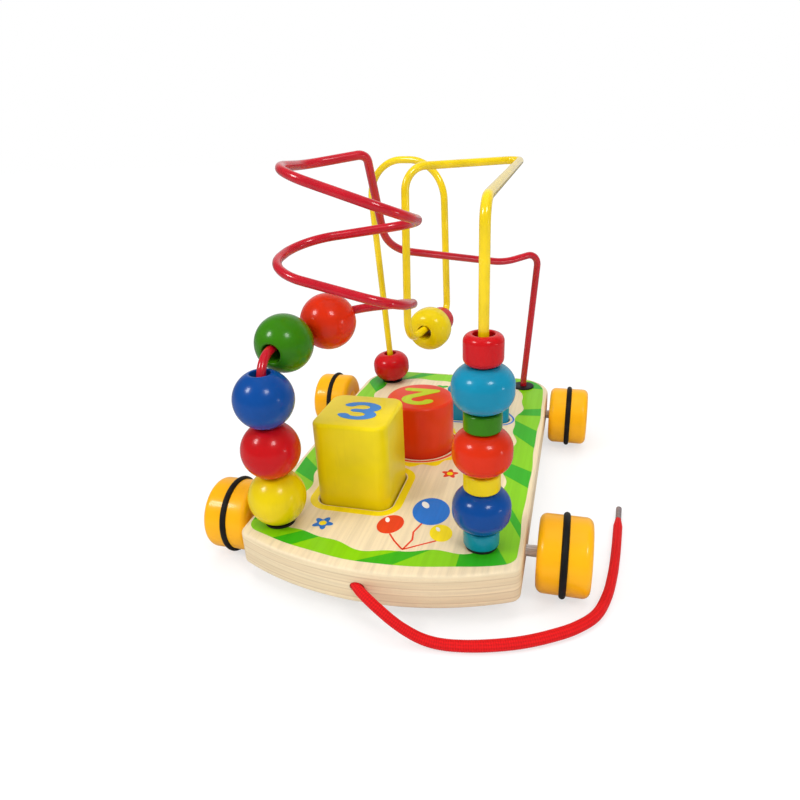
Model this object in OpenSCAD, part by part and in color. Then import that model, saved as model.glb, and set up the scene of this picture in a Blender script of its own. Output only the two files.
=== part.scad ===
// Pull-along bead maze: a plywood board on four wheels, two bent wires with beads,
// three lift-out counting blocks and a pull cord.
// Millimetres, +Z up, front at -Y, origin on the floor below the middle of the board.

/* [Board] */
// Width of the board across the wheels
board_w = 136; // [120:1:160]
// Length from the bowed front edge to the rear edge
board_l = 240; // [225:1:270]
// Thickness of the plywood
board_t = 18; // [16:0.5:24]
// Radius of the bowed front edge
front_arc_r = 150; // [110:1:220]
// Rounding between the bowed edge and the sides
front_corner_r = 6; // [2:0.5:15]
// Rounding of the rear corners
rear_corner_r = 25; // [10:1:40]

/* [Wheels] */
// Radius of the wooden rim
wheel_r = 18.5; // [16:0.5:24]
// Width of a wheel
wheel_w = 24.5; // [16:0.5:30]
// Rounding of the rim's two edges
wheel_edge_r = 3.5; // [1:0.5:6]
// Thickness of the rubber ring
tyre_section = 3.2; // [2:0.1:5]
// Depth of the ring below the rim
tyre_sink = 1.7; // [1:0.1:2.5]
// Distance of the axles from the board's front and rear ends
axle_end = 42.5; // [35:0.5:45]
// Gap between the board's side and a wheel with the axle centred
wheel_gap = 4; // [2.5:0.25:8]
// Sideways shift of the axles in their bores, the front one to the right
axle_play = 1.5; // [0:0.1:2]
// Diameter of the axles
axle_d = 5.5; // [4:0.1:6.5]
// Depth of the axle ends inside the wheels' outer faces
axle_inset = 1.2; // [0.5:0.1:4]

/* [Posts] */
// Front-left post, distance from the board's left side
front_left_side = 16.5; // [14:0.5:20]
// Front-left post, distance from the front edge's crown
front_left_end = 28.5; // [26:0.5:30]
// Front-right post, distance from the board's right side
front_right_side = 19.5; // [15:0.5:24]
// Front-right post, distance from the front edge's crown
front_right_end = 30; // [26:0.5:32]
// Rear-left post, distance from the board's left side
rear_left_side = 19.5; // [16:0.5:24]
// Rear-left post, distance from the rear edge
rear_left_end = 20; // [16:0.5:24]
// Rear-right post, distance from the board's right side
rear_right_side = 18; // [15:0.5:24]
// Rear-right post, distance from the rear edge
rear_right_end = 17; // [15:0.5:24]
// Diameter of the collars' flanges
collar_d = 15; // [12:0.5:17]
// Height of the collars' flanges
collar_h = 1.2; // [0.8:0.1:3]
// Diameter of the collars' spigots in the board
spigot_d = 9; // [7.5:0.1:11]
// Length of the spigots
spigot_l = 8; // [5:0.5:11]

/* [Wires] */
// Diameter of both wires
wire_d = 4.4; // [3.5:0.1:5]
// Height of the highest wire corner above the board
maze_h = 166; // [160:1:190]
// Height of the upright feet of the two rear posts
foot_h = 6; // [4:0.5:9]
// Bend radius at the rear feet
foot_bend_r = 50; // [40:1:60]

/* [Red wire] */
// Centre of the coil, from the board's centre line
coil_x = -20; // [-26:1:-14]
// Middle of the coil, behind the balls of the front-left post
coil_gap = 9.6; // [6:0.1:14]
// Width of the coil
coil_w = 65; // [60:1:76]
// Depth of the coil from front to back
coil_d = 41; // [41:1:48]
// Right end of the coil's first turn, inwards from the coil's right side
first_turn_in = 3.5; // [0:0.5:5]
// Left end of the coil's top turn, inwards from the coil's left side
top_turn_in = 6.5; // [0:0.5:9]
// Distance of the first sweep behind the coil
sweep_back = 2; // [0:0.5:6]
// Crest behind the coil, from the centre line
crest_x = -21; // [-26:1:-16]
// Crest, behind the coil's back
crest_behind = 19; // [15:1:23]
// Dip behind the crest, from the centre line
dip_x = -25; // [-30:1:-20]
// Dip, behind the crest
dip_behind = 39; // [35:1:43]
// Rear-right shoulder, outwards from its post
right_lean_x = 7; // [4:0.5:10]
// Rear-right shoulder, forwards from its post
right_lean_y = 6; // [3:0.5:9]
// Bend at the top of the front-left post
riser_bend_r = 12; // [9:0.5:14]
// Wide bend of the first sweep, which two balls ride on
sweep_bend_r = 38; // [35:0.5:40]
// Bends of the coil
coil_bend_r = 19; // [14:0.5:20]
// Bend at the crest
crest_bend_r = 6; // [5:0.5:10]
// Bend at the dip
dip_bend_r = 28; // [20:1:32]
// Wide bend of the sagging run from the dip to the rear-right shoulder
sag_bend_r = 50; // [40:1:70]
// Bend at the rear-right shoulder
shoulder_bend_r = 8; // [6:0.5:14]

/* [Yellow wire] */
// Far corner of the top run, from the centre line
corner_x = 46; // [42:1:50]
// Far corner of the top run, from the board's middle
corner_y = 72; // [66:1:78]
// Hanging loop, front leg from the centre line
loop_x = -10; // [-14:1:-6]
// Hanging loop, front leg's foot from the board's middle
loop_y = 9; // [5:1:13]
// Length of the hanging loop's bottom
loop_l = 65; // [62:1:72]
// Sideways slant of the loop's bottom
loop_slant = 10; // [6:1:14]
// Backward lean of the loop's front leg
loop_lean = 7; // [4:0.5:10]
// Backward lean of the loop's rear leg
heel_lean = 4; // [2:0.5:8]
// Leftward lean of the loop's rear leg
heel_shift = 2; // [0:0.5:6]
// Rear-left shoulder, outwards from its post
left_lean_x = 7.5; // [4:0.5:10]
// Rear-left shoulder, forwards from its post
left_lean_y = 8; // [4:0.5:10]
// Bend at the top of the front-right post
post_bend_r = 10; // [8:1:30]
// Bend at the far corner of the top run
corner_bend_r = 5; // [4:0.5:9]
// Bend at the top of the loop's front leg
loop_top_bend_r = 13; // [9:0.5:16]
// Bend at the foot of the loop's front leg
loop_foot_bend_r = 12; // [8:0.5:14]
// Bend at the foot of the loop's rear leg
loop_heel_bend_r = 8; // [6:0.5:10]
// Bends of the rear arch
arch_bend_r = 25; // [18:1:26]

/* [Balls] */
// Diameter of the balls on the red wire
ball_d = 28.4; // [26:0.2:29]
// Diameter of the balls' holes
ball_hole = 9.5; // [9:0.1:10.5]
// Diameter of the flats round the balls' holes
ball_flat = 12; // [11:0.1:13]
// Angle of the green ball from the start of the sweep
green_angle = 4; // [4:0.5:8]

/* [Beads] */
// Diameter of the fat beads
fat_d = 26.4; // [23:0.2:29]
// Height of the fat beads
fat_h = 20; // [16:0.2:21]
// Edge rounding of the fat beads, as a share of half their height
fat_edge_share = 0.86; // [0.6:0.02:0.98]
// Diameter of the disc beads
disc_d = 16.5; // [14:0.1:20]
// Height of the disc beads
disc_h = 8.6; // [7:0.1:11]
// Edge rounding of the disc beads
disc_edge_r = 1.2; // [0.6:0.1:2]
// Diameter of the barrel beads
barrel_d = 16.6; // [15:0.1:20]
// Height of the barrel beads
barrel_h = 13; // [10:0.1:15]
// Edge rounding of the barrel beads
barrel_edge_r = 3; // [1.5:0.1:3.5]
// Diameter of the holes of the fat, disc and barrel beads
bead_hole = 9; // [8.4:0.1:10]

/* [Blocks] */
// Width of the square block
three_w = 39; // [30:0.5:40]
// Corner rounding of the square block
three_corner_r = 6.5; // [3:0.5:10]
// Height of the square block above the board
three_h = 45.5; // [36:0.5:50]
// Square block, from the board's centre line
three_x = -20.5; // [-24:0.5:-16]
// Square block, from the board's middle
three_y = -53; // [-53.5:0.5:-48]
// Diameter of the round block
two_d = 39; // [32:0.5:42]
// Height of the round block above the board
two_h = 31.5; // [26:0.5:36]
// Round block, from the board's centre line
two_x = -2; // [-6:0.5:4]
// Round block, from the board's middle
two_y = 2; // [-3:0.5:6]
// Side of the triangular block over its rounded corners
one_w = 40; // [32:0.5:42]
// Corner rounding of the triangular block
one_corner_r = 6; // [3:0.5:9]
// Height of the triangular block above the board
one_h = 21; // [16:0.5:25]
// Triangular block, from the board's centre line
one_x = 26; // [22:0.5:30]
// Triangular block, from the board's middle
one_y = 53; // [51:0.5:58]
// Depth of the three pockets
pocket_depth = 5; // [3:0.25:5.5]

/* [Cord] */
// Diameter of the cord
cord_d = 5; // [4:0.1:5]
// Cord's hole, from the board's centre line
cord_side = -2; // [-8:0.5:4]
// Depth of the cord's hole in the front edge
cord_hole_l = 16; // [14:0.5:20]
// Diameter of the sleeve on the cord's free end
sleeve_d = 3.2; // [2.5:0.1:4.5]
// Length of the sleeve
sleeve_l = 11; // [8:0.5:16]

/* [Fits] */
// Radial clearance of the axles in the board
axle_clear = 0.1; // [0.05:0.01:0.3]
// Radial clearance of the axles in the wheels
wheel_clear = 0.02; // [0.01:0.01:0.05]
// Radial clearance of the rubber rings in their grooves
tyre_clear = 0.05; // [0.02:0.01:0.1]
// Radial clearance of the spigots in the board and of the wires in the collars
collar_clear = 0.05; // [0.02:0.01:0.1]
// Clearance round the blocks in their pockets
pocket_clear = 0.6; // [0.3:0.05:1]
// Gap between a resting piece and its seat
rest_gap = 0.1; // [0.05:0.05:0.2]
// Gap between neighbouring beads
bead_gap = 0.2; // [0.1:0.05:0.4]
// Gap between two balls on the sweep
ball_gap = 0.4; // [0.3:0.05:0.8]
// Gap between a hanging bead's hole and its wire
hang_gap = 0.4; // [0.3:0.05:0.5]
// Radial clearance of the cord in its hole
cord_clear = 0.25; // [0.2:0.05:0.4]

/* [Hidden] */
$fn = 96;

// Room that every cut leaves beyond the solid that it cuts
overrun = 2;
// Share of a straight that its two bends may use
bend_room_share = 0.97;
// Straight pieces in the bowed edge, and in each corner of the board, blocks and pockets
bow_steps = 28;
corner_steps = 10;
// Length by which the straights run on into their bends, and loss of the wire's radius in the bends
splice = 0.4;
bend_thinning = 0.05;

// Levels and places that follow from the sizes above
tyre_ring_r = wheel_r + tyre_section / 2 - tyre_sink;
axle_z = tyre_ring_r + tyre_section / 2;
board_top = axle_z + board_t / 2;
board_bottom = axle_z - board_t / 2;
wheel_x = board_w / 2 + wheel_gap + wheel_w / 2;
axle_l = 2 * wheel_x + wheel_w - 2 * axle_inset;
wheel_base = board_l - 2 * axle_end;
post_front_left = [front_left_side - board_w / 2, front_left_end - board_l / 2];
post_front_right = [board_w / 2 - front_right_side, front_right_end - board_l / 2];
post_rear_left = [rear_left_side - board_w / 2, board_l / 2 - rear_left_end];
post_rear_right = [board_w / 2 - rear_right_side, board_l / 2 - rear_right_end];
wire_end_z = board_top - spigot_l;
foot_z = board_top + foot_h;
seat_z = board_top + collar_h + bead_gap;
block_z = board_top - pocket_depth + rest_gap;
coil_y = post_front_left.y + ball_d + coil_gap;
coil_left = coil_x - coil_w / 2;
coil_right = coil_x + coil_w / 2;
coil_front = coil_y - coil_d / 2;
coil_back = coil_y + coil_d / 2;
crest_y = coil_back + crest_behind;
dip_y = crest_y + dip_behind;
loop_heel_y = loop_y + loop_l;
ball_l = 2 * sqrt(pow(ball_d / 2, 2) - pow(ball_flat / 2, 2));
// Corner of the wire over the balls of the front-left post
riser_balls = 3;
riser_clear = 5.64;
riser_z = seat_z + riser_balls * ball_l + (riser_balls - 1) * bead_gap + riser_clear;
fat_edge_r = fat_edge_share * fat_h / 2;
stack_h = [disc_h, fat_h, disc_h, fat_h, disc_h, fat_h, barrel_h];

// Height of a wire corner, given as a share of the maze's height
function level(share) = board_top + share * maze_h;
function corner(place, share) = [place.x, place.y, level(share)];
function foot(place, z) = [place.x, place.y, z];
// Corner of the coil, its height given as a share of the way from the riser's corner to the highest corner
function coil_corner(place, share) = foot(place, riser_z + share * (level(1) - riser_z));

// Top of the rear-right post, and the lowest place of the run to it as a share of the way from the dip
right_shoulder = post_rear_right + [right_lean_x, -right_lean_y];
sag_share = 0.75;
sag_place = [dip_x, dip_y] + sag_share * (right_shoulder - [dip_x, dip_y]);

// Corners of the red wire from the front-left post, up the coil and down to the rear-right post
red_path = [
    foot(post_front_left, wire_end_z),
    foot(post_front_left, riser_z),
    coil_corner([post_front_left.x, coil_back + sweep_back], 0.061),
    coil_corner([coil_right - first_turn_in, coil_back], 0.163),
    coil_corner([coil_right - first_turn_in, coil_front], 0.265),
    coil_corner([coil_left, coil_front], 0.449),
    coil_corner([coil_left, coil_back], 0.52),
    coil_corner([coil_right, coil_back], 0.633),
    coil_corner([coil_right, coil_front], 0.735),
    coil_corner([coil_left + top_turn_in, coil_front], 0.98),
    coil_corner([coil_left + top_turn_in, coil_back], 0.959),
    corner([crest_x, crest_y], 1),
    corner([dip_x, dip_y], 0.68),
    corner(sag_place, 0.572),
    corner(right_shoulder, 0.592),
    foot(post_rear_right, foot_z),
    foot(post_rear_right, wire_end_z)];
coil_bends = [for (i = [0:7]) coil_bend_r];
red_bends = concat([0, riser_bend_r, sweep_bend_r], coil_bends,
    [crest_bend_r, dip_bend_r, sag_bend_r, shoulder_bend_r, foot_bend_r, 0]);
sweep = 2;

// Corners of the yellow wire from the front-right post, through the hanging loop to the rear-left post
yellow_path = [
    foot(post_front_right, wire_end_z),
    corner(post_front_right, 0.918),
    corner([corner_x, corner_y], 0.945),
    corner([loop_x, loop_y + loop_lean], 0.95),
    corner([loop_x, loop_y], 0.375),
    corner([loop_x + loop_slant, loop_heel_y], 0.375),
    corner([loop_x + loop_slant - heel_shift, loop_heel_y + heel_lean], 0.95),
    corner(post_rear_left - [left_lean_x, left_lean_y], 0.955),
    foot(post_rear_left, foot_z),
    foot(post_rear_left, wire_end_z)];
yellow_bends = [0, post_bend_r, corner_bend_r, loop_top_bend_r, loop_foot_bend_r, loop_heel_bend_r,
    arch_bend_r, arch_bend_r, foot_bend_r, 0];
loop_foot = 4;
loop_heel = 5;
left_shoulder = 7;
left_foot = 8;

// Heading of the cord's hole, turned to the right, and the middle of its mouth
cord_hole_turn = 40;
cord_out = [sin(cord_hole_turn), -cos(cord_hole_turn), 0];
cord_mouth = [cord_side, -board_l / 2, axle_z];
// Distance of the cord's end from the bottom of its hole, and its straight length outside the mouth
cord_end_gap = 1;
cord_straight = 1;
// Places on the way down and round the front-right wheel, as shares of the distance to the wheel's
// outer face, of half the board's length and of the drop to the floor
cord_shares = [
    [0.062, 1.042, 0.954], [0.12, 1.06, 0.782], [0.18, 1.067, 0.534], [0.24, 1.068, 0.305],
    [0.31, 1.067, 0.115], [0.39, 1.062, 0.017], [0.49, 1.05, 0], [0.605, 1.025, 0], [0.725, 0.987, 0],
    [0.84, 0.935, 0], [0.945, 0.873, 0], [1.03, 0.792, 0], [1.08, 0.679, 0], [1.11, 0.546, 0],
    [1.13, 0.404, 0], [1.145, 0.258, 0], [1.156, 0.133, 0]];
cord_floor_z = cord_d / 2 + rest_gap;
wheel_face = wheel_x + wheel_w / 2 + axle_play;
// Route of the cord's centre line
cord_route = concat(
    [for (back = [cord_hole_l - cord_end_gap, cord_hole_l / 2, -cord_straight])
        cord_mouth - cord_out * back],
    [for (s = cord_shares) [cord_side + s.x * (wheel_face - cord_side), -s.y * board_l / 2,
        cord_floor_z + s.z * (axle_z - cord_floor_z)]]);
cord_steps = 3;
cord_sides = 10;

// Vectors and frames
function unit(v) = v / norm(v);
function side_of(t) = unit(cross(abs(t.z) > abs(t.y) ? [1, 0, 0] : [0, 0, 1], t));

module in_frame(o, x, y, z) {
    multmatrix([[x[0], y[0], z[0], o[0]], [x[1], y[1], z[1], o[1]], [x[2], y[2], z[2], o[2]], [0, 0, 0, 1]])
        children();
}

// Turns the children's Z axis to t and moves them to o
module along(o, t) {
    x = side_of(t);
    in_frame(o, x, cross(t, x), t) children();
}

// Bent wire: straights between the corners and true arcs round them
function is_end(p, i) = i == 0 || i == len(p) - 1;
function heading(p, i) = unit(p[i + 1] - p[i]);
function turn(p, i) = acos(heading(p, i - 1) * heading(p, i));
function wanted(p, r, i) = is_end(p, i) ? 0 : r[i] * tan(turn(p, i) / 2);
function room(p, r, i) = bend_room_share * norm(p[i + 1] - p[i]) / (wanted(p, r, i) + wanted(p, r, i + 1));
function ease(p, r, i) = min(1, room(p, r, i - 1), room(p, r, i));
function bend_radius(p, r, i) = r[i] * ease(p, r, i);
function setback(p, r, i) = is_end(p, i) ? 0 : wanted(p, r, i) * ease(p, r, i);

// An arc's axis, the direction from its start to its centre, and its centre
function bend_axis(p, i) = unit(cross(heading(p, i - 1), heading(p, i)));
function bend_inward(p, i) = cross(bend_axis(p, i), heading(p, i - 1));
function bend_centre(p, r, i) = p[i] - heading(p, i - 1) * setback(p, r, i)
    + bend_inward(p, i) * bend_radius(p, r, i);
// Unit vectors from the arc's centre outwards, and along the wire, at an angle from the arc's start
function bend_out(p, i, a) = heading(p, i - 1) * sin(a) - bend_inward(p, i) * cos(a);
function bend_along(p, i, a) = heading(p, i - 1) * cos(a) + bend_inward(p, i) * sin(a);

module wire(p, r) {
    for (i = [0:len(p) - 2]) {
        t = heading(p, i);
        start = setback(p, r, i) - (is_end(p, i) ? 0 : splice);
        stop = setback(p, r, i + 1) - (is_end(p, i + 1) ? 0 : splice);
        along(p[i] + t * start, t)
            cylinder(d = wire_d, h = norm(p[i + 1] - p[i]) - start - stop);
    }
    for (i = [1:len(p) - 2])
        in_frame(bend_centre(p, r, i), bend_out(p, i, 0), heading(p, i - 1), bend_axis(p, i))
            rotate_extrude(angle = turn(p, i))
                translate([bend_radius(p, r, i), 0])
                    circle(d = wire_d - 2 * bend_thinning);
}

// Flat outlines
module rounded_box(w, h, r) {
    square([w - 2 * r, h], center = true);
    square([w, h - 2 * r], center = true);
    for (x = [-1, 1], y = [-1, 1])
        translate([x * (w / 2 - r), y * (h / 2 - r)])
            circle(r = r);
}

// Points along an arc
function arc(centre, r, from, to, steps) =
    [for (k = [0:steps])
        centre + r * [cos(from + (to - from) * k / steps), sin(from + (to - from) * k / steps)]];

// Regular polygon with n sides of length w over its rounded corners, one side facing the front
module rounded_polygon(n, w, r) {
    reach = (w - 2 * r) / (2 * sin(180 / n));
    first = 180 / n - 90;
    polygon([for (i = [0:n - 1]) let (a = first + 360 * i / n)
        each arc(reach * [cos(a), sin(a)], r, a - 180 / n, a + 180 / n, corner_steps)]);
}

// Bowed front edge, its two corners and the two rear corners, in turn
module board_outline() {
    bow = [0, front_arc_r - board_l / 2];
    front_x = board_w / 2 - front_corner_r;
    front_y = bow.y - sqrt(pow(front_arc_r - front_corner_r, 2) - pow(front_x, 2));
    rear = [board_w / 2 - rear_corner_r, board_l / 2 - rear_corner_r];
    meet = atan2(front_y - bow.y, front_x);
    polygon(concat(
        arc(bow, front_arc_r, -180 - meet, meet, bow_steps),
        arc([front_x, front_y], front_corner_r, meet, 0, corner_steps),
        arc(rear, rear_corner_r, 0, 90, corner_steps),
        arc([-rear.x, rear.y], rear_corner_r, 90, 180, corner_steps),
        arc([-front_x, front_y], front_corner_r, 180, 180 - meet, corner_steps)));
}

module three_outline(clear) {
    translate([three_x, three_y])
        rounded_polygon(4, three_w + 2 * clear, three_corner_r + clear);
}

module two_outline(clear) {
    translate([two_x, two_y])
        circle(d = two_d + 2 * clear);
}

module one_outline(clear) {
    translate([one_x, one_y])
        rounded_polygon(3, one_w + 2 * clear, one_corner_r + clear);
}

// Board and collars
module at_post(place) {
    translate([place.x, place.y, board_top])
        children();
}

module base_board() {
    color("wheat")
    difference() {
        translate([0, 0, board_bottom])
            linear_extrude(board_t)
                board_outline();
        translate([0, 0, board_top - pocket_depth])
            linear_extrude(pocket_depth + overrun) {
                three_outline(pocket_clear);
                two_outline(pocket_clear);
                one_outline(pocket_clear);
            }
        for (y = [-1, 1])
            translate([0, y * wheel_base / 2, axle_z])
                rotate([0, 90, 0])
                    cylinder(d = axle_d + 2 * axle_clear, h = board_w + 2 * overrun, center = true);
        for (place = [post_front_left, post_front_right, post_rear_left, post_rear_right])
            at_post(place)
                translate([0, 0, -spigot_l - rest_gap])
                    cylinder(d = spigot_d + 2 * collar_clear, h = spigot_l + rest_gap + overrun);
        along(cord_mouth - cord_out * cord_hole_l, cord_out)
            cylinder(d = cord_d + 2 * cord_clear, h = cord_hole_l + cord_d);
    }
}

module collar(place) {
    color("black")
    at_post(place)
        difference() {
            union() {
                cylinder(d = collar_d, h = collar_h);
                translate([0, 0, -spigot_l])
                    cylinder(d = spigot_d, h = spigot_l);
            }
            translate([0, 0, -spigot_l - overrun])
                cylinder(d = wire_d + 2 * collar_clear, h = spigot_l + collar_h + 2 * overrun);
        }
}

module collar_front_left() collar(post_front_left);
module collar_front_right() collar(post_front_right);
module collar_rear_left() collar(post_rear_left);
module collar_rear_right() collar(post_rear_right);

// Wires
module red_wire() {
    color("crimson")
        wire(red_path, red_bends);
}

module yellow_wire() {
    color("gold")
        wire(yellow_path, yellow_bends);
}

// Axles, wheels and rubber rings, the front set moved to the right and the rear set to the left
module at_axle(end) {
    translate([-end * axle_play, end * wheel_base / 2, axle_z])
        rotate([0, 90, 0])
            children();
}

module axle(end) {
    color("silver")
    at_axle(end)
        cylinder(d = axle_d, h = axle_l, center = true);
}

module wheel(end, side) {
    bore_r = axle_d / 2 + wheel_clear;
    color("orange")
    at_axle(end)
        translate([0, 0, side * wheel_x])
            rotate_extrude()
                difference() {
                    intersection() {
                        rounded_box(2 * wheel_r, wheel_w, wheel_edge_r);
                        translate([bore_r, -wheel_w])
                            square([wheel_r, 2 * wheel_w]);
                    }
                    translate([tyre_ring_r, 0])
                        circle(d = tyre_section + 2 * tyre_clear);
                }
}

module tyre(end, side) {
    color("black")
    at_axle(end)
        translate([0, 0, side * wheel_x])
            rotate_extrude()
                translate([tyre_ring_r, 0])
                    circle(d = tyre_section);
}

module front_axle() axle(-1);
module rear_axle() axle(1);
module wheel_front_left() wheel(-1, -1);
module wheel_front_right() wheel(-1, 1);
module wheel_rear_left() wheel(1, -1);
module wheel_rear_right() wheel(1, 1);
module tyre_front_left() tyre(-1, -1);
module tyre_front_right() tyre(-1, 1);
module tyre_rear_left() tyre(1, -1);
module tyre_rear_right() tyre(1, 1);

// Bead shapes, centred on the origin with the hole along Z
module ball() {
    rotate_extrude()
        intersection() {
            circle(d = ball_d);
            translate([ball_hole / 2, -ball_l / 2])
                square([ball_d, ball_l]);
        }
}

module past_hole(size) {
    translate([bead_hole / 2, -size])
        square([size, 2 * size]);
}

module fat_bead() {
    rotate_extrude()
        intersection() {
            rounded_box(fat_d, fat_h, fat_edge_r);
            past_hole(fat_d);
        }
}

module disc_bead() {
    rotate_extrude()
        intersection() {
            rounded_box(disc_d, disc_h, disc_edge_r);
            past_hole(disc_d);
        }
}

module barrel_bead() {
    rotate_extrude()
        intersection() {
            rounded_box(barrel_d, barrel_h, barrel_edge_r);
            past_hole(barrel_d);
        }
}

// Balls: three on the front-left post and two that hang on the first sweep
module riser_ball(i) {
    translate([post_front_left.x, post_front_left.y, seat_z + ball_l / 2 + i * (ball_l + bead_gap)])
        ball();
}

sweep_r = bend_radius(red_path, red_bends, sweep);
ball_sag = pow(ball_l / 2, 2) / (2 * sweep_r);
ball_slack = ball_hole / 2 - wire_d / 2 - hang_gap;
ball_drop = sqrt(max(0, pow(ball_slack, 2) - pow(ball_sag / 2, 2)));
ball_track_r = sweep_r - ball_sag / 2;
orange_angle = green_angle + 2 * asin((ball_d + ball_gap) / (2 * ball_track_r));

module sweep_ball(a) {
    along(bend_centre(red_path, red_bends, sweep) + bend_out(red_path, sweep, a) * ball_track_r
        - [0, 0, ball_drop], bend_along(red_path, sweep, a))
        ball();
}

module ball_yellow() color("gold") riser_ball(0);
module ball_red() color("crimson") riser_ball(1);
module ball_blue() color("mediumblue") riser_ball(2);
module ball_green() color("forestgreen") sweep_ball(green_angle);
module ball_orange() color("orangered") sweep_ball(orange_angle);

// Stack on the front-right post
function stack_base(i) = i == 0 ? seat_z : stack_base(i - 1) + stack_h[i - 1] + bead_gap;

module stacked(i) {
    translate([post_front_right.x, post_front_right.y, stack_base(i) + stack_h[i] / 2])
        children();
}

module stack_teal() color("darkcyan") stacked(0) disc_bead();
module stack_blue() color("mediumblue") stacked(1) fat_bead();
module stack_yellow() color("gold") stacked(2) disc_bead();
module stack_orange() color("orangered") stacked(3) fat_bead();
module stack_green() color("forestgreen") stacked(4) disc_bead();
module stack_cyan() color("deepskyblue") stacked(5) fat_bead();
module stack_red() color("crimson") stacked(6) barrel_bead();

// Beads in the hanging loop, from the rear leg forwards
loop_heading = heading(yellow_path, loop_foot);
bead_drop = bead_hole / 2 - wire_d / 2 - hang_gap;
loop_red_back = setback(yellow_path, yellow_bends, loop_heel) + bead_gap + barrel_h / 2;
loop_yellow_back = loop_red_back + barrel_h / 2 + bead_gap + fat_h / 2;

module in_loop(back) {
    along(yellow_path[loop_heel] - loop_heading * back - [0, 0, bead_drop], loop_heading)
        children();
}

module loop_yellow_bead() color("gold") in_loop(loop_yellow_back) fat_bead();
module loop_red_bead() color("crimson") in_loop(loop_red_back) barrel_bead();

// Bead at the foot of the leaning rear-left post, its lower flat clear of the collar
module rear_red_bead() {
    t = unit(yellow_path[left_shoulder] - yellow_path[left_foot]);
    lift = collar_h + bead_gap + collar_d / 2 * norm([t.x, t.y]) + fat_h / 2;
    color("crimson")
        along(yellow_path[left_foot] + t * (lift - foot_h) / t.z, t)
            fat_bead();
}

// Counting blocks
module block(h) {
    translate([0, 0, block_z])
        linear_extrude(board_top + h - block_z)
            children();
}

module block_three() color("gold") block(three_h) three_outline(0);
module block_two() color("orangered") block(two_h) two_outline(0);
module block_one() color("darkcyan") block(one_h) one_outline(0);

// Cord: a tube swept along a smooth curve through the route's points
function route_at(i) = cord_route[min(max(i, 0), len(cord_route) - 1)];
function smooth(a, b, c, d, t) = b + (c - a) * t / 2 + (a - 2.5 * b + 2 * c - d / 2) * t * t
    + (3 * b - a - 3 * c + d) * t * t * t / 2;
function cord_at(i, t) = smooth(route_at(i - 1), route_at(i), route_at(i + 1), route_at(i + 2), t);
cord_line = [for (i = [0:len(cord_route) - 2], k = [0:cord_steps - 1]) cord_at(i, k / cord_steps),
    route_at(len(cord_route) - 1)];
cord_last = len(cord_line) - 1;
function cord_heading(i) = unit(cord_line[min(i + 1, cord_last)] - cord_line[max(i - 1, 0)]);
function cord_ring(i) = let (t = cord_heading(i), x = side_of(t), y = cross(t, x))
    [for (k = [0:cord_sides - 1])
        cord_line[i] + cord_d / 2 * (x * cos(360 * k / cord_sides) + y * sin(360 * k / cord_sides))];

module pull_cord() {
    points = [for (i = [0:cord_last]) each cord_ring(i)];
    n = cord_sides;
    walls = [for (i = [0:cord_last - 1], k = [0:n - 1]) each [
        [i * n + k, (i + 1) * n + (k + 1) % n, i * n + (k + 1) % n],
        [i * n + k, (i + 1) * n + k, (i + 1) * n + (k + 1) % n]]];
    start_cap = [for (k = [0:n - 1]) k];
    end_cap = [for (k = [n - 1:-1:0]) cord_last * n + k];
    color("red")
        polyhedron(points, concat(walls, [start_cap, end_cap]));
}

module cord_tip() {
    color("dimgray")
        along(cord_line[cord_last], cord_heading(cord_last))
            cylinder(d = sleeve_d, h = sleeve_l);
}

base_board();
collar_front_left();
collar_front_right();
collar_rear_left();
collar_rear_right();
red_wire();
yellow_wire();
front_axle();
rear_axle();
wheel_front_left();
wheel_front_right();
wheel_rear_left();
wheel_rear_right();
tyre_front_left();
tyre_front_right();
tyre_rear_left();
tyre_rear_right();
ball_yellow();
ball_red();
ball_blue();
ball_green();
ball_orange();
stack_teal();
stack_blue();
stack_yellow();
stack_orange();
stack_green();
stack_cyan();
stack_red();
loop_yellow_bead();
loop_red_bead();
rear_red_bead();
block_three();
block_two();
block_one();
pull_cord();
cord_tip();
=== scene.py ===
import math

import bmesh
import bpy
from bpy.props import FloatProperty, FloatVectorProperty, IntProperty, PointerProperty
from mathutils import Matrix, Vector


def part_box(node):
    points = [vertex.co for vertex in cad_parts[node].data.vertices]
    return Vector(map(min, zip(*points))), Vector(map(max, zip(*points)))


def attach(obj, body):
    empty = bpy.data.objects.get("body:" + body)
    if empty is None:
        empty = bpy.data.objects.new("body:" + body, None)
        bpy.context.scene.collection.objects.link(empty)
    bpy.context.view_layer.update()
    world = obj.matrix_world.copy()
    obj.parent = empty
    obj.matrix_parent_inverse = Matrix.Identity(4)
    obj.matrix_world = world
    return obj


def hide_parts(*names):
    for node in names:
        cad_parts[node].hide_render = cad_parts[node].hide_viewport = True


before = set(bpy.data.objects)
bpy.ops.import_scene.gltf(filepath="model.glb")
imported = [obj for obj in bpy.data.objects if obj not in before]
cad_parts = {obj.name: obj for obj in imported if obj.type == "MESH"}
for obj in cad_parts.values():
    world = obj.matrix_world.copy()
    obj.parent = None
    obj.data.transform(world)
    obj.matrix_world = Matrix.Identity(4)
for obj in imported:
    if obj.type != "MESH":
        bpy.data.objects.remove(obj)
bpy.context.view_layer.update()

bl_info = {
    "name": "Bead Maze",
    "version": (1, 0, 0),
    "blender": (4, 5, 0),
    "location": "3D View > Sidebar > Bead Maze",
    "description": "Dresses the pull-along bead maze in wood, lacquer, rubber and braid",
    "category": "Object",
}

MM = 0.001
CHASSIS = "chassis"


def length(name, text, default):
    """A length property in metres."""
    return FloatProperty(name=name, description=text, default=default, unit="LENGTH", precision=5, min=0.0)


def colour(name, text, default):
    """A colour property."""
    return FloatVectorProperty(name=name, description=text, default=default, subtype="COLOR", size=3,
                               min=0.0, max=1.0)


def share(name, text, default):
    """A property between nought and one."""
    return FloatProperty(name=name, description=text, default=default, subtype="FACTOR", min=0.0, max=1.0)


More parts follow.
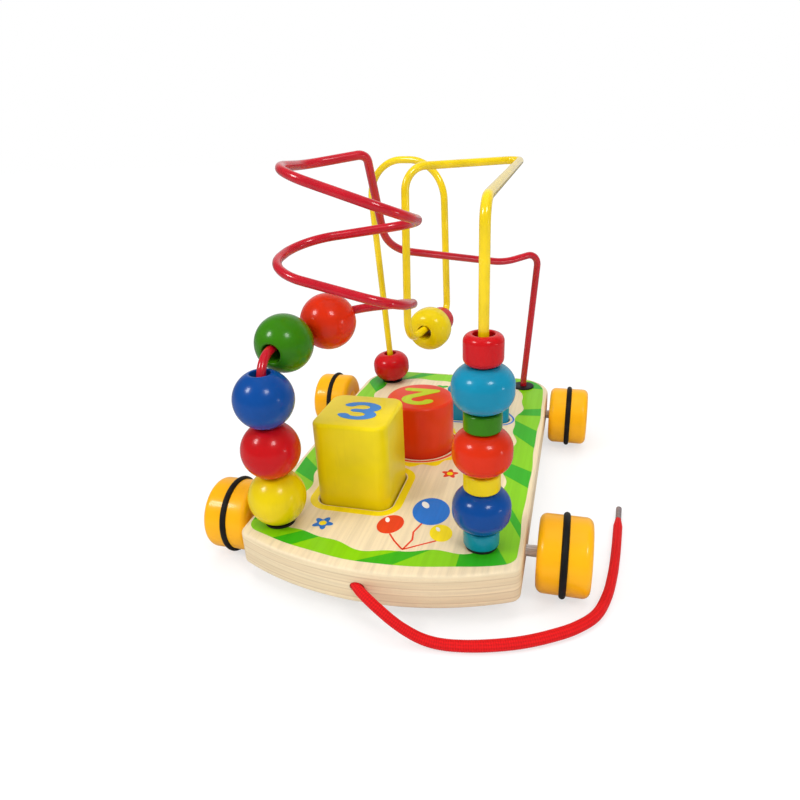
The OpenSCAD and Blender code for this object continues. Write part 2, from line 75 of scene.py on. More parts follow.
def power(name, text, default):
    """A lamp's power in watts."""
    return FloatProperty(name=name, description=text, default=default, unit="POWER", min=0.0)


class BoardSettings(bpy.types.PropertyGroup):
    """Sizes and colours of the board and its print"""
    arris: length("Arris", "Rounding of the board's upper and lower edges", 0.0018)
    pocket_flare: length("Pocket flare", "Chamfer round the mouths of the pockets", 0.0004)
    plies: IntProperty(name="Plies", description="Veneers in the board's thickness", default=5, min=3, max=9)
    wood: colour("Wood", "Pale wood of the veneers", (0.87, 0.72, 0.47))
    wood_dark: colour("Late wood", "Darker lines of the grain", (0.56, 0.35, 0.155))
    ink_lift: length("Ink lift", "Height of the printed ink over the wood", 0.00006)
    grass: colour("Grass", "Pale green of the printed border", (0.23, 0.60, 0.002))
    bar: colour("Bars", "Dark green of the bars across the border", (0.03, 0.42, 0.006))
    blue: colour("Blue ink", "Blue of the printed shapes", (0.008, 0.17, 0.62))
    red: colour("Red ink", "Red of the printed shapes", (0.75, 0.045, 0.012))
    yellow: colour("Yellow ink", "Yellow of the printed shapes", (0.93, 0.72, 0.004))
    white: colour("White ink", "White of the printed shapes", (0.88, 0.86, 0.80))


class BeadSettings(bpy.types.PropertyGroup):
    """Colours and finish of the balls and beads"""
    rim: length("Hole rim", "Rounding of the edges of the holes", 0.0006)
    gloss: share("Roughness", "Roughness of the lacquer", 0.2)
    yellow: colour("Yellow", "Yellow lacquer", (0.80, 0.60, 0.001))
    red: colour("Red", "Red lacquer", (0.58, 0.004, 0.007))
    blue: colour("Blue", "Blue lacquer", (0.001, 0.064, 0.30))
    green: colour("Green", "Green lacquer", (0.036, 0.205, 0.001))
    orange: colour("Orange", "Orange lacquer", (0.70, 0.026, 0.002))
    teal: colour("Teal", "Teal lacquer", (0.004, 0.26, 0.37))
    cyan: colour("Cyan", "Cyan lacquer", (0.004, 0.255, 0.42))


class WireSettings(bpy.types.PropertyGroup):
    """Sizes and colours of the two wires and their collars"""
    diameter: length("Diameter", "Diameter of both wires", 0.0044)
    red: colour("Red wire", "Paint of the red wire", (0.55, 0.003, 0.016))
    yellow: colour("Yellow wire", "Paint of the yellow wire", (0.92, 0.66, 0.001))
    collar: colour("Collars", "Black of the collars", (0.012, 0.011, 0.012))
    collar_rough: share("Collar roughness", "Roughness of the collars", 0.34)


class WheelSettings(bpy.types.PropertyGroup):
    """Sizes and colours of the wheels, rubber rings and axles"""
    rim_radius: length("Rim radius", "Radius of the wooden rim", 0.0185)
    width: length("Width", "Width of a wheel", 0.0245)
    edge: length("Edge", "Rounding of the rim's two edges", 0.0035)
    bore: length("Bore", "Radius of the wheel's bore", 0.00277)
    ring_radius: length("Ring radius", "Radius of the rubber ring's middle line", 0.0184)
    ring_section: length("Ring section", "Thickness of the rubber ring", 0.0032)
    axle_chamfer: length("Axle chamfer", "Chamfer of the axles' ends", 0.0005)
    wood: colour("Wheels", "Orange-yellow stain of the wheels", (0.98, 0.45, 0.001))
    rubber: colour("Rubber", "Black of the rubber rings", (0.008, 0.0075, 0.008))
    steel: colour("Steel", "Bare steel of the axles", (0.94, 0.97, 1.0))
    gloss: share("Roughness", "Roughness of the stained wheels", 0.27)
    rubber_rough: share("Rubber roughness", "Roughness of the rubber rings", 0.45)


class BlockSettings(bpy.types.PropertyGroup):
    """Sizes and colours of the counting blocks"""
    top_edge: length("Top edge", "Rounding of the blocks' upper edges", 0.0018)
    stroke: length("Stroke", "Width of the numbers' strokes", 0.0034)
    paint_lift: length("Paint lift", "Height of the painted numbers over the blocks", 0.00012)
    gloss: share("Roughness", "Roughness of the blocks' paint", 0.30)
    three: colour("Square block", "Yellow of the square block", (0.93, 0.73, 0.0))
    two: colour("Round block", "Orange of the round block", (0.76, 0.034, 0.002))
    one: colour("Triangular block", "Teal of the triangular block", (0.004, 0.29, 0.47))
    three_paint: colour("Three", "Blue of the number on the square block", (0.04, 0.26, 0.72))
    two_paint: colour("Two", "Lime of the number on the round block", (0.50, 0.62, 0.009))
    one_paint: colour("One", "Yellow of the number on the triangular block", (0.90, 0.70, 0.01))


class CordSettings(bpy.types.PropertyGroup):
    """Sizes and colours of the pull cord"""
    diameter: length("Diameter", "Diameter of the braid", 0.005)
    pitch: length("Braid pitch", "Length of one crossing of the braid", 0.0021)
    relief: length("Braid relief", "Height of the strands", 0.00016)
    braid: colour("Braid", "Red of the braid", (0.82, 0.006, 0.008))
    sleeve: colour("Sleeve", "Brown-grey of the sleeve on the free end", (0.20, 0.15, 0.15))


class StageSettings(bpy.types.PropertyGroup):
    """Camera, floor and light"""
    lens: FloatProperty(name="Lens", description="Focal length in millimetres", default=28.0654,
                        unit="CAMERA", min=1.0)
    key: power("Key light", "Power of the left soft light", 6.6)
    fill: power("Fill light", "Power of the right soft light", 5.2)
    top: power("Top light", "Power of the overhead light", 7.4)
    side: power("Side light", "Power of the small low light", 0.45)
    sky: share("Sky", "Strength of the light from all round", 0.52)
    mirrored: share("Mirrored room", "Brightness of the room in glossy surfaces", 0.15)
    backdrop: share("Mirrored backdrop", "Brightness of the backdrop in glossy surfaces", 0.7)
    floor: colour("Floor", "Colour of the floor", (0.93, 0.93, 0.93))


SETTINGS = {
    "maze_board": BoardSettings, "maze_beads": BeadSettings, "maze_wires": WireSettings,
    "maze_wheels": WheelSettings, "maze_blocks": BlockSettings, "maze_cord": CordSettings,
    "maze_stage": StageSettings,
}


# Sizes and places of the part, in millimetres

BOARD_TOP = 29.0
BOARD_LOW = 11.0
BOARD_HALF_W = 68.0
BOARD_HALF_L = 120.0
BOW_R = 150.0
FRONT_CORNER_R = 6.0
REAR_CORNER_R = 25.0
BLOCK_LOW = 24.1
POCKET_LOW = 24.0
POCKET_GAP = 0.6
INK_SUNK = 0.05
OVERRUN = 2.0
SKIM = 0.001
ROUND_SIDES = 40
AXLE_Z = 20.0
AXLE_Y = 77.5
AXLE_BORE_R = 2.85
POST_HOLE_R = 4.55
POST_HOLE_DEEP = 8.1
POSTS = {"front_left": (-51.5, -91.5), "front_right": (48.5, -90.0),
         "rear_left": (-48.5, 100.0), "rear_right": (50.0, 103.0)}

# The blocks, with the place, turn and stretch of their numbers

THREE = {"place": (-20.5, -53.0), "wide": 39.0, "corner": 6.5, "top": 74.5,
         "slot": "block_yellow", "figure": ((-19.9, -53.0), 0, 1.76, 1.06)}
TWO = {"place": (-2.0, 2.0), "wide": 39.0, "top": 60.5,
       "slot": "block_orange", "figure": ((-2.0, 2.0), 180, 1.70, 1.35)}
ONE = {"place": (26.0, 53.0), "wide": 40.0, "corner": 6.0, "top": 50.0,
       "slot": "block_teal", "figure": ((26.0, 53.0), 0, 1.2, 1.0)}

# The printed border: inset and corners of its two edges, height and number of their waves, and its bars

RIM, RIM_WAVES = (2.8, 9.0, 22.5), (0.4, 9)
BED, BED_WAVES = (16.5, 14.0, 14.0), (1.7, 11)
FRONT_BARE, FRONT_BARE_FROM, FRONT_BARE_OVER = 4.5, 70.0, 50.0
BORDER_POINTS = 360
FIRST_BAR, BAR_STEP = 6, 24
BAR_WIDTHS = (7, 10, 13)
BAR_LEANS = (-3, 4)
INK_STEP_SHARE = 0.6

# Printed rings: their outer and inner edges, outwards from the blocks, and the petals round the middle one

THREE_RING, TWO_RING, ONE_RING = (5.4, 1.4), (3.8, 2.3), (3.6, 2.4)
PETALS_R, PETALS, PETALS_FROM = 29.0, 12, 4.6

# Printed leaves with their place, size and turn, flowers with the size of their hearts too, and a star

LEAVES = ((-43, -20, 4.6, 30), (-42, 34, 5.2, 90), (43, 16, 4.8, 0), (40, -40, 4.2, 60), (-8, 92, 4.6, 30))
BLUE_FLOWERS = ((-30, -89, 5.4, 0, 1.9), (-28, 66, 5.6, 0, 2.0), (38, 84, 4.4, 0, 1.6))
RED_FLOWERS = ((22, -30, 4.8, 20, 1.7), (10, 86, 4.6, 0, 1.7))
STAR, STAR_R, STAR_INNER_R, STAR_HEART_R = (-36, 52), 8.4, 5.6, 4.4

# Printed balloons and the shines on them, with their place, half width, half height, points and turn

BLUE_BALLOONS = ((20, -68, 9.4, 12.0, 44, 10), (34, 22, 4.6, 5.8, 32, -20))
RED_BALLOON = (3, -83, 6.2, 8.0, 40, -14)
YELLOW_BALLOON = (28.6, -85, 5.4, 6.8, 36, 16)
SHINES = ((16.0, -63.2, 1.7, 3.2, 24, 32), (0.6, -79.8, 1.1, 2.1, 24, 20),
          (26.6, -82.4, 0.9, 1.8, 24, 30), (32.4, 24.4, 0.8, 1.5, 24, 10))
STRINGS = (((17.8, -79.6), (15.6, -87.0), (16.6, -93.0), (14.0, -101.0)),
           ((5.0, -90.8), (8.4, -95.4), (13.4, -100.6)), ((27.4, -91.6), (21.0, -96.0), (14.6, -100.6)))
STRING_W = 0.9

# Heights of the wires' corners

MAZE_H = 166.0
WIRE_END_Z = 21.0
FOOT_Z = 35.0
RISER_Z = 113.661


def level(height_share):
    """Height of a wire's corner, from the board to the top of the maze."""
    return BOARD_TOP + height_share * MAZE_H


def coil_level(height_share):
    """Height of a corner of the coil, from the riser's corner to the top of the maze."""
    return RISER_Z + height_share * (level(1) - RISER_Z)


# Corners of the red wire from the front-left post, up the coil and down to the rear-right post

COIL_LEFT, COIL_RIGHT, COIL_FRONT, COIL_BACK = -52.5, 12.5, -74.0, -33.0
SWEEP_BACK, FIRST_TURN_IN, TOP_TURN_IN = 2.0, 3.5, 6.5
RED_PATH = [
    (*POSTS["front_left"], WIRE_END_Z),
    (*POSTS["front_left"], RISER_Z),
    (POSTS["front_left"][0], COIL_BACK + SWEEP_BACK, coil_level(0.061)),
    (COIL_RIGHT - FIRST_TURN_IN, COIL_BACK, coil_level(0.163)),
    (COIL_RIGHT - FIRST_TURN_IN, COIL_FRONT, coil_level(0.265)),
    (COIL_LEFT, COIL_FRONT, coil_level(0.449)),
    (COIL_LEFT, COIL_BACK, coil_level(0.52)),
    (COIL_RIGHT, COIL_BACK, coil_level(0.633)),
    (COIL_RIGHT, COIL_FRONT, coil_level(0.735)),
    (COIL_LEFT + TOP_TURN_IN, COIL_FRONT, coil_level(0.98)),
    (COIL_LEFT + TOP_TURN_IN, COIL_BACK, coil_level(0.959)),
    (-21.0, -14.0, level(1)),
    (-25.0, 25.0, level(0.68)),
    (36.5, 79.0, level(0.572)),
    (57.0, 97.0, level(0.592)),
    (*POSTS["rear_right"], FOOT_Z),
    (*POSTS["rear_right"], WIRE_END_Z)]
COIL_BEND_R, COIL_BENDS = 19, 8
RED_BENDS = [0, 12, 38] + COIL_BENDS * [COIL_BEND_R] + [6, 28, 50, 8, 50, 0]
SWEEP = 2

# Corners of the yellow wire from the front-right post, through the hanging loop to the rear-left post

YELLOW_PATH = [
    (*POSTS["front_right"], WIRE_END_Z),
    (*POSTS["front_right"], level(0.918)),
    (46.0, 72.0, level(0.945)),
    (-10.0, 16.0, level(0.95)),
    (-10.0, 9.0, level(0.375)),
    (0.0, 74.0, level(0.375)),
    (-2.0, 78.0, level(0.95)),
    (-56.0, 92.0, level(0.955)),
    (*POSTS["rear_left"], FOOT_Z),
    (*POSTS["rear_left"], WIRE_END_Z)]
YELLOW_BENDS = [0, 10, 5, 13, 12, 8, 25, 25, 50, 0]
LOOP_FOOT, LOOP_HEEL, LEFT_SHOULDER, LEFT_FOOT = 4, 5, 7, 8
BEND_ROOM = 0.97

# The balls, their places in degrees round the sweep, and the beads with the tints of their lacquer

BALL_R, BALL_HOLE_R, BALL_FLAT_R = 14.2, 4.75, 6.0
BALLS = {f"ball_{tint}": tint for tint in ("yellow", "red", "blue", "green", "orange")}
BALL_ANGLES = {"ball_green": 4.0, "ball_orange": 49.93}
BEAD_HOLE_R = 4.5
FAT_BEADS = {"stack_blue": "blue", "stack_orange": "orange", "stack_cyan": "cyan",
             "loop_yellow_bead": "yellow", "rear_red_bead": "red"}
DISC_BEADS = {"stack_teal": "teal", "stack_yellow": "yellow", "stack_green": "green"}
BARREL_BEADS = {"stack_red": "red", "loop_red_bead": "red"}

# Radius, half height and edge rounding of the beads' shapes, and the steps of the edge and of the turning

BEAD_SHAPES = (
    ("fat_bead", FAT_BEADS, 13.2, 10.0, 8.6, 20, 72),
    ("disc_bead", DISC_BEADS, 8.25, 4.3, 1.2, 7, 64),
    ("barrel_bead", BARREL_BEADS, 8.3, 6.5, 3.0, 9, 64))

# The wheels: direction of the axles, room and points of the rubber rings, and the groove in a wheel's face

ACROSS = (1.0, 0.0, 0.0)
RING_CLEAR = 0.05
RING_POINTS = 18
BORE_CHAMFER = 0.5
GROOVE_R, GROOVE_HALF_W, GROOVE_DEEP = 7.0, 0.4, 0.25

# The cord: its hole, its places as shares of the way round the wheel and down to the floor, and its sleeve

CORD_SIDE = -2.0
CORD_TURN = 40.0
CORD_HOLE = 16.0
CORD_HOLE_R = 2.75
CORD_OVERRUN = 5.0
CORD_END_GAP, CORD_STRAIGHT = 1.0, 1.0
CORD_STEPS, CORD_SPACING = 24, 0.35
WHEEL_FACE = 98.0
CORD_FLOOR = 2.6
CORD_SHARES = [
    (0.062, 1.042, 0.954), (0.12, 1.06, 0.782), (0.18, 1.067, 0.534), (0.24, 1.068, 0.305),
    (0.31, 1.067, 0.115), (0.39, 1.062, 0.017), (0.49, 1.05, 0), (0.605, 1.025, 0), (0.725, 0.987, 0),
    (0.84, 0.935, 0), (0.945, 0.873, 0), (1.03, 0.792, 0), (1.08, 0.679, 0), (1.11, 0.546, 0),
    (1.13, 0.404, 0), (1.145, 0.258, 0), (1.156, 0.133, 0)]
SLEEVE_R = 1.6
SLEEVE_LONG = 11.0

# The camera's place in millimetres, and its directions

CAMERA_PLACE = (82.5544, -325.2016, 206.1208)
CAMERA_UP = (-0.0693, 0.3965, 0.9154)
CAMERA_AHEAD = (-0.2603, 0.8787, -0.4003)

# Places and widths of the lamps in metres, and whether glossy surfaces mirror them

LAMPS = {"key": ((-0.86, -0.76, 1.04), 0.38, True), "fill": ((0.70, -0.76, 1.14), 0.38, True),
         "side": ((1.15, -0.25, 0.16), 0.16, True), "top": ((0.0, 0.1, 1.3), 1.2, False)}
LAMPS_AIM = (0.0, 0.0, 0.08)

# The floor's width in metres and its white, the share of the shadow that it keeps, and what is mirrored

FLOOR_WIDE = 8.0
FLOOR_GLOW = 1.06
SHADOW_SHARE, SHADOW_FADES = 0.4, (0.3, 0.9)
FLOOR_MIRRORED_SHARE = 0.75
BACKDROP_FADES = (0.35, 0.95)

# Lines of grain to the metre along the three axes

FACE_GRAIN = (430.0, 11.0, 320.0)
CROSS_GRAIN = (20.0, 260.0, 420.0)
SAWN_GRAIN = (24.0, 24.0, 1000.0)
BEAD_GRAIN = (420.0, 420.0, 60.0)
BLOCK_GRAIN = (420.0, 420.0, 40.0)
WHEEL_GRAIN = (60.0, 420.0, 420.0)
STEEL_LINES = (60.0, 2600.0, 2600.0)

# Points nearer to each other than this, in metres, are one

SAME = 1e-6


# Shader maths

class Val:
    """A socket of a graph. Arithmetic on it adds Math nodes."""

    def __init__(self, graph, socket):
        self.graph, self.socket = graph, socket

    def math(self, operation, *values):
        """A Math node on values and numbers."""
        return self.graph.node("ShaderNodeMath", {"operation": operation}, dict(enumerate(values)))["Value"]

    def __add__(self, other):
        return self.math("ADD", self, other)

    def __sub__(self, other):
        return self.math("SUBTRACT", self, other)

    def __rsub__(self, other):
        return self.math("SUBTRACT", other, self)

    def __mul__(self, other):
        return self.math("MULTIPLY", self, other)

    __radd__ = __add__
    __rmul__ = __mul__

    def sin(self):
        return self.math("SINE", self)

    def abs(self):
        return self.math("ABSOLUTE", self)

    def at_least(self, other):
        return self.math("MAXIMUM", self, other)

    def ramp(self, low, high, first=0.0, last=1.0):
        """Goes smoothly from first at low to last at high."""
        return self.graph.node("ShaderNodeMapRange", {"interpolation_type": "SMOOTHSTEP"}, {
            "Value": self, "From Min": low, "From Max": high, "To Min": first, "To Max": last})["Result"]


class Outputs:
    """The outputs of a node, by name or number."""

    def __init__(self, graph, node):
        self.graph, self.made = graph, node

    def __getitem__(self, key):
        return Val(self.graph, self.made.outputs[key])


class Graph:
    """A node tree that is built node by node."""

    def __init__(self, tree):
        self.tree = tree
        tree.nodes.clear()

    def feed(self, socket, value):
        """Links a value to a socket, or sets the socket to a constant."""
        if isinstance(value, Val):
            self.tree.links.new(value.socket, socket)
        elif hasattr(value, "__len__") and len(value) == 3 and len(getattr(socket, "default_value", ())) == 4:
            socket.default_value = (*value, 1.0)
        else:
            socket.default_value = value

    def node(self, kind, settings=None, values=None):
        """Adds a node: its settings first, then the values or links of its sockets."""
        made = self.tree.nodes.new(kind)
        for key, value in (settings or {}).items():
            setattr(made, key, value)
        for key, value in (values or {}).items():
            self.feed(made.inputs[key], value)
        return Outputs(self, made)

    def parts(self, vector):
        """The three numbers of a vector, by name or number."""
        return self.node("ShaderNodeSeparateXYZ", None, {0: vector})

    def glow(self, kind, strength):
        """White light from an emission or a background."""
        return self.node(kind, None, {"Color": (1.0, 1.0, 1.0), "Strength": strength})[0]

    def blended(self, factor, first, second):
        """A mix of two shaders."""
        return self.node("ShaderNodeMixShader", None, {0: factor, 1: first, 2: second})["Shader"]


class Finish(Graph):
    """A material that is built node by node."""

    def __init__(self, name):
        self.material = bpy.data.materials.new(name)
        self.material.use_nodes = True
        super().__init__(self.material.node_tree)
        self.shader = self.tree.nodes.new("ShaderNodeBsdfPrincipled")
        self.end = self.tree.nodes.new("ShaderNodeOutputMaterial")
        self.tree.links.new(self.shader.outputs["BSDF"], self.end.inputs["Surface"])
        self.place = self.node("ShaderNodeTexCoord")["Object"]

    def mix(self, factor, first, second):
        """A colour between two colours."""
        return self.node("ShaderNodeMix", {"data_type": "RGBA", "clamp_factor": True},
                         {0: factor, 6: first, 7: second})[2]

    def stretched(self, scale):
        """The place in the frame, stretched along its axes."""
        return self.node("ShaderNodeVectorMath", {"operation": "MULTIPLY"},
                         {0: self.place, 1: scale})["Vector"]

    def noise(self, place, scale, detail, roughness=0.5):
        """A cloudy number between nought and one."""
        return self.node("ShaderNodeTexNoise", None,
                         {"Vector": place, "Scale": scale, "Detail": detail, "Roughness": roughness})["Fac"]

    def tones(self, factor, tint, first, last):
        """A tint that goes from one shade of it to another."""
        return self.mix(factor, shade(tint, first), shade(tint, last))

    def bump(self, height, strength, distance):
        """A normal that follows a relief."""
        return self.node("ShaderNodeBump", None,
                         {"Strength": strength, "Distance": distance, "Height": height})["Normal"]

    def surface(self, **sockets):
        """Sets the shader's sockets; underscores stand for spaces."""
        for key, value in sockets.items():
            self.feed(self.shader.inputs[key.replace("_", " ")], value)
        return self.material


def shade(tint, share_of):
    """A colour made lighter or darker."""
    return tuple(min(1.0, channel * share_of) for channel in tint)


def lacquer(name, tint, roughness, grain=BEAD_GRAIN):
    """Glossy paint over turned wood: a little of the fibre and of the brush shows."""
    finish = Finish(name)
    cloud = finish.noise(finish.place, 45.0, 2.0)
    fibre = finish.noise(finish.stretched(grain), 1.0, 4.0, 0.6)
    peel = finish.noise(finish.place, 420.0, 1.0)
    tone = finish.tones(cloud.ramp(0.3, 0.7), tint, 0.93, 1.04)
    toned = finish.mix((fibre - 0.55).at_least(0.0) * 0.9, tone, shade(tint, 0.72))
    return finish.surface(
        Base_Color=toned, Roughness=roughness + 0.10 * (cloud - 0.5) + 0.07 * fibre,
        Normal=finish.bump(fibre * 0.6 + peel * 0.4, 0.10, 0.0004),
        Coat_Weight=0.22, Coat_Roughness=0.07, Specular_IOR_Level=0.24)


def plywood(board):
    """Pale veneers one on another, their grain along the board and across it in turn."""
    finish = Finish("pale_plywood")
    z = finish.parts(finish.place)[2]
    drift = finish.noise(finish.stretched((22.0, 22.0, 60.0)), 1.0, 2.0)
    per_metre = (board.plies - 0.24) / ((BOARD_TOP - BOARD_LOW) * MM)
    veneer = (z - BOARD_LOW * MM) * per_metre + 0.12 + 0.10 * (drift - 0.5)
    within = veneer.math("FRACT", veneer)
    crossed = veneer.math("FLOORED_MODULO", veneer.math("FLOOR", veneer), 2.0)
    joint = 1.0 - (within * (1.0 - within) * 4.0).ramp(0.0, 0.26)
    along = finish.noise(finish.stretched(FACE_GRAIN), 1.0, 4.0, 0.58)
    across = finish.noise(finish.stretched(CROSS_GRAIN), 1.0, 5.0, 0.62)
    ends = finish.noise(finish.place, 1500.0, 2.0)
    rings = (within * 12.0 + along * 3.0).sin() * 0.5 + 0.5
    sawn = finish.noise(finish.stretched(SAWN_GRAIN), 1.0, 4.0, 0.6)
    facing = finish.parts(finish.node("ShaderNodeNewGeometry")["Normal"])[2]
    edge = 1.0 - facing.abs().ramp(0.5, 0.9)
    streak = (along * (1.0 - crossed) + across * crossed) * (1.0 - 0.8 * edge) + sawn * (0.8 * edge)
    pale = finish.tones(streak.ramp(0.30, 0.72), board.wood, 1.03, 0.88)
    lined = finish.mix(rings * 0.10 + crossed * 0.12, pale, board.wood_dark)
    glued = finish.mix(joint * 0.50, lined, shade(board.wood_dark, 0.9))
    flecked = finish.mix((ends - 0.62).at_least(0.0) * 1.2, glued, board.wood_dark)
    return finish.surface(
        Base_Color=flecked, Roughness=0.46 + 0.12 * streak - 0.05 * joint,
        Normal=finish.bump(streak * 0.5 - joint * 0.5 + ends * 0.15, 0.16, 0.0005),
        Coat_Weight=0.12, Coat_Roughness=0.25)


def ink(name, tint):
    """Screen ink on wood: slightly uneven, with the grain showing through."""
    finish = Finish(name)
    grain = finish.noise(finish.stretched(FACE_GRAIN), 1.0, 4.0, 0.58)
    mottle = finish.noise(finish.place, 900.0, 2.0)
    tone = finish.tones(grain.ramp(0.35, 0.72), tint, 1.02, 0.93)
    spotted = finish.mix((mottle - 0.66).at_least(0.0) * 1.5, tone, shade(tint, 0.75))
    return finish.surface(
        Base_Color=spotted, Roughness=0.34 + 0.14 * grain,
        Normal=finish.bump(grain * 0.7 + mottle * 0.3, 0.10, 0.0004),
        Coat_Weight=0.08, Coat_Roughness=0.18, Specular_IOR_Level=0.3)


def wire_paint(name, tint):
    """Dipped paint on steel wire: glossy, with slow runs."""
    finish = Finish(name)
    runs = finish.noise(finish.place, 70.0, 2.0)
    specks = finish.noise(finish.place, 1400.0, 1.0)
    tone = finish.tones(runs.ramp(0.3, 0.7), tint, 0.90, 1.06)
    return finish.surface(
        Base_Color=tone, Roughness=0.18 + 0.10 * runs + 0.04 * specks,
        Normal=finish.bump(runs * 0.9 + specks * 0.1, 0.04, 0.0003),
        Coat_Weight=0.8, Coat_Roughness=0.05, Specular_IOR_Level=0.35)


def rubber(name, tint, rough):
    """Moulded black: dull, faintly dusty."""
    finish = Finish(name)
    dust = finish.noise(finish.place, 160.0, 4.0, 0.6)
    fine = finish.noise(finish.place, 2200.0, 1.0)
    tone = finish.mix(dust.ramp(0.45, 0.85), tint, (0.022, 0.021, 0.022))
    return finish.surface(
        Base_Color=tone, Roughness=rough + 0.18 * dust,
        Normal=finish.bump(fine, 0.12, 0.0002), Specular_IOR_Level=0.2)


def steel_rod(tint):
    """Drawn steel: lines along the rod and a few dull spots."""
    finish = Finish("drawn_steel")
    lines = finish.noise(finish.stretched(STEEL_LINES), 1.0, 3.0)
    spots = finish.noise(finish.place, 260.0, 3.0)
    tone = finish.mix(lines.ramp(0.35, 0.7), tint, shade(tint, 0.5))
    return finish.surface(
        Base_Color=tone, Metallic=0.35, Roughness=0.30 + 0.16 * lines + 0.08 * spots,
        Normal=finish.bump(lines, 0.2, 0.0002))


def braid(cord):
    """Braided cord: strands that cross, with painted shade in the valleys between them."""
    finish = Finish("red_braid")
    parts = finish.parts(finish.node("ShaderNodeUVMap", {"uv_map": "braid"})["UV"])
    along, round_it = parts[0], parts[1]
    left = ((along + round_it) * (2 * math.pi)).sin()
    right = ((along - round_it) * (2 * math.pi)).sin()
    strands = left * right * 0.5 + 0.5
    threads = ((along * 3.0 + round_it) * (2 * math.pi * 3)).sin() * 0.5 + 0.5
    fuzz = finish.noise(finish.place, 2600.0, 2.0)
    # Painted shade: the red darkens in the valleys between the strands and is brightest on their tops
    tone = finish.tones(strands * 0.75 + fuzz * 0.25, cord.braid, 0.62, 1.08)
    return finish.surface(
        Base_Color=tone, Roughness=0.62 + 0.2 * fuzz,
        Normal=finish.bump(strands * 0.6 + threads * 0.2 + fuzz * 0.2, 0.45, 0.0004),
        Sheen_Weight=0.05, Sheen_Roughness=0.4, Specular_IOR_Level=0.2)


def sleeve_plastic(tint):
    """Thin plastic rolled round the cord's end."""
    finish = Finish("sleeve_plastic")
    cloud = finish.noise(finish.place, 320.0, 3.0)
    tone = finish.tones(cloud.ramp(0.3, 0.7), tint, 0.8, 1.25)
    return finish.surface(Base_Color=tone, Roughness=0.30 + 0.15 * cloud,
                          Normal=finish.bump(cloud, 0.2, 0.0003), Coat_Weight=0.2)


# Modelling

def fresh():
    """Leaves nothing selected."""
    bpy.ops.object.select_all(action="DESELECT")


def only(piece):
    """Selects one piece and makes it the active one."""
    fresh()
    piece.select_set(True)
    bpy.context.view_layer.objects.active = piece


def named(piece, name):
    """Names a piece and its mesh."""
    piece.name = piece.data.name = name
    return piece


def rounded(piece, degrees=35.0):
    """Smooth shading, with sharp edges kept."""
    only(piece)
    bpy.ops.object.shade_smooth_by_angle(angle=math.radians(degrees))
    return piece


def ring(name, places, fill="NOTHING"):
    """Starts a piece as a ring of points, in millimetres, and leaves it in edit mode with all selected."""
    fresh()
    bpy.ops.mesh.primitive_circle_add(vertices=len(places), radius=0.01, fill_type=fill)
    piece = named(bpy.context.object, name)
    bpy.ops.object.mode_set(mode="EDIT")
    mesh = bmesh.from_edit_mesh(piece.data)
    mesh.verts.ensure_lookup_table()
    for vert, place in zip(mesh.verts, places):
        vert.co = [number * MM for number in place]
    bmesh.update_edit_mesh(piece.data)
    bpy.ops.mesh.select_all(action="SELECT")
    return piece


def merged():
    """Merges the doubles of the piece in edit mode, turns its faces outwards and leaves edit mode."""
    bpy.ops.mesh.select_all(action="SELECT")
    bpy.ops.mesh.remove_doubles(threshold=SAME)
    bpy.ops.mesh.normals_make_consistent(inside=False)
    bpy.ops.object.mode_set(mode="OBJECT")


def lathe(name, profile, steps):
    """Turns a closed profile of radius and height, in millimetres, about Z."""
    piece = ring(name, [(radius, 0.0, height) for radius, height in profile])
    bpy.ops.mesh.spin(steps=steps, angle=2 * math.pi, center=(0, 0, 0), axis=(0, 0, 1))
    merged()
    return rounded(piece)


def nearest(outline, vert):
    """Number of the outline's point that is nearest to a vertex."""
    x, y = vert.co.x / MM, vert.co.y / MM
    return min(range(len(outline)), key=lambda i: (outline[i][0] - x) ** 2 + (outline[i][1] - y) ** 2)


def at_height(verts, height):
    """Whether all the vertices lie at one height."""
    return all(abs(vert.co.z - height * MM) < SAME for vert in verts)


def plate(name, outline, low, high, hollow=None):
    """A flat plate drawn up from low to high; with hollow, a band between two outlines of as many points."""
    piece = ring(name, [(x, y, low) for x, y in outline], "NOTHING" if hollow else "NGON")
    if hollow:
        bpy.ops.mesh.extrude_edges_move()
        mesh = bmesh.from_edit_mesh(piece.data)
        for vert in mesh.verts:
            if vert.select:
                x, y = hollow[nearest(outline, vert)]
                vert.co = (x * MM, y * MM, low * MM)
        bmesh.update_edit_mesh(piece.data)
        bpy.ops.mesh.select_all(action="SELECT")
    bpy.ops.mesh.extrude_region_move(TRANSFORM_OT_translate={"value": (0, 0, (high - low) * MM)})
    bpy.ops.mesh.select_all(action="SELECT")
    bpy.ops.mesh.normals_make_consistent(inside=False)
    bpy.ops.object.mode_set(mode="OBJECT")
    return piece


def round_rim(piece, height, radius, segments):
    """Bevels the edges of a plate that lie at one height."""
    only(piece)
    bpy.ops.object.mode_set(mode="EDIT")
    bpy.ops.mesh.select_mode(type="EDGE")
    bpy.ops.mesh.select_all(action="DESELECT")
    mesh = bmesh.from_edit_mesh(piece.data)
    for edge in mesh.edges:
        if at_height(edge.verts, height):
            edge.select_set(True)
    bmesh.update_edit_mesh(piece.data)
    bpy.ops.mesh.bevel(offset=radius, offset_type="OFFSET", segments=segments, profile=0.5, affect="EDGES")
    bpy.ops.mesh.select_mode(type="VERT")
    bpy.ops.object.mode_set(mode="OBJECT")


def cut(piece, cutter):
    """Takes one solid out of another."""
    modifier = piece.modifiers.new("cut", "BOOLEAN")
    modifier.operation, modifier.solver, modifier.object = "DIFFERENCE", "EXACT", cutter
    only(piece)
    bpy.ops.object.modifier_apply(modifier=modifier.name)
    bpy.data.objects.remove(cutter)


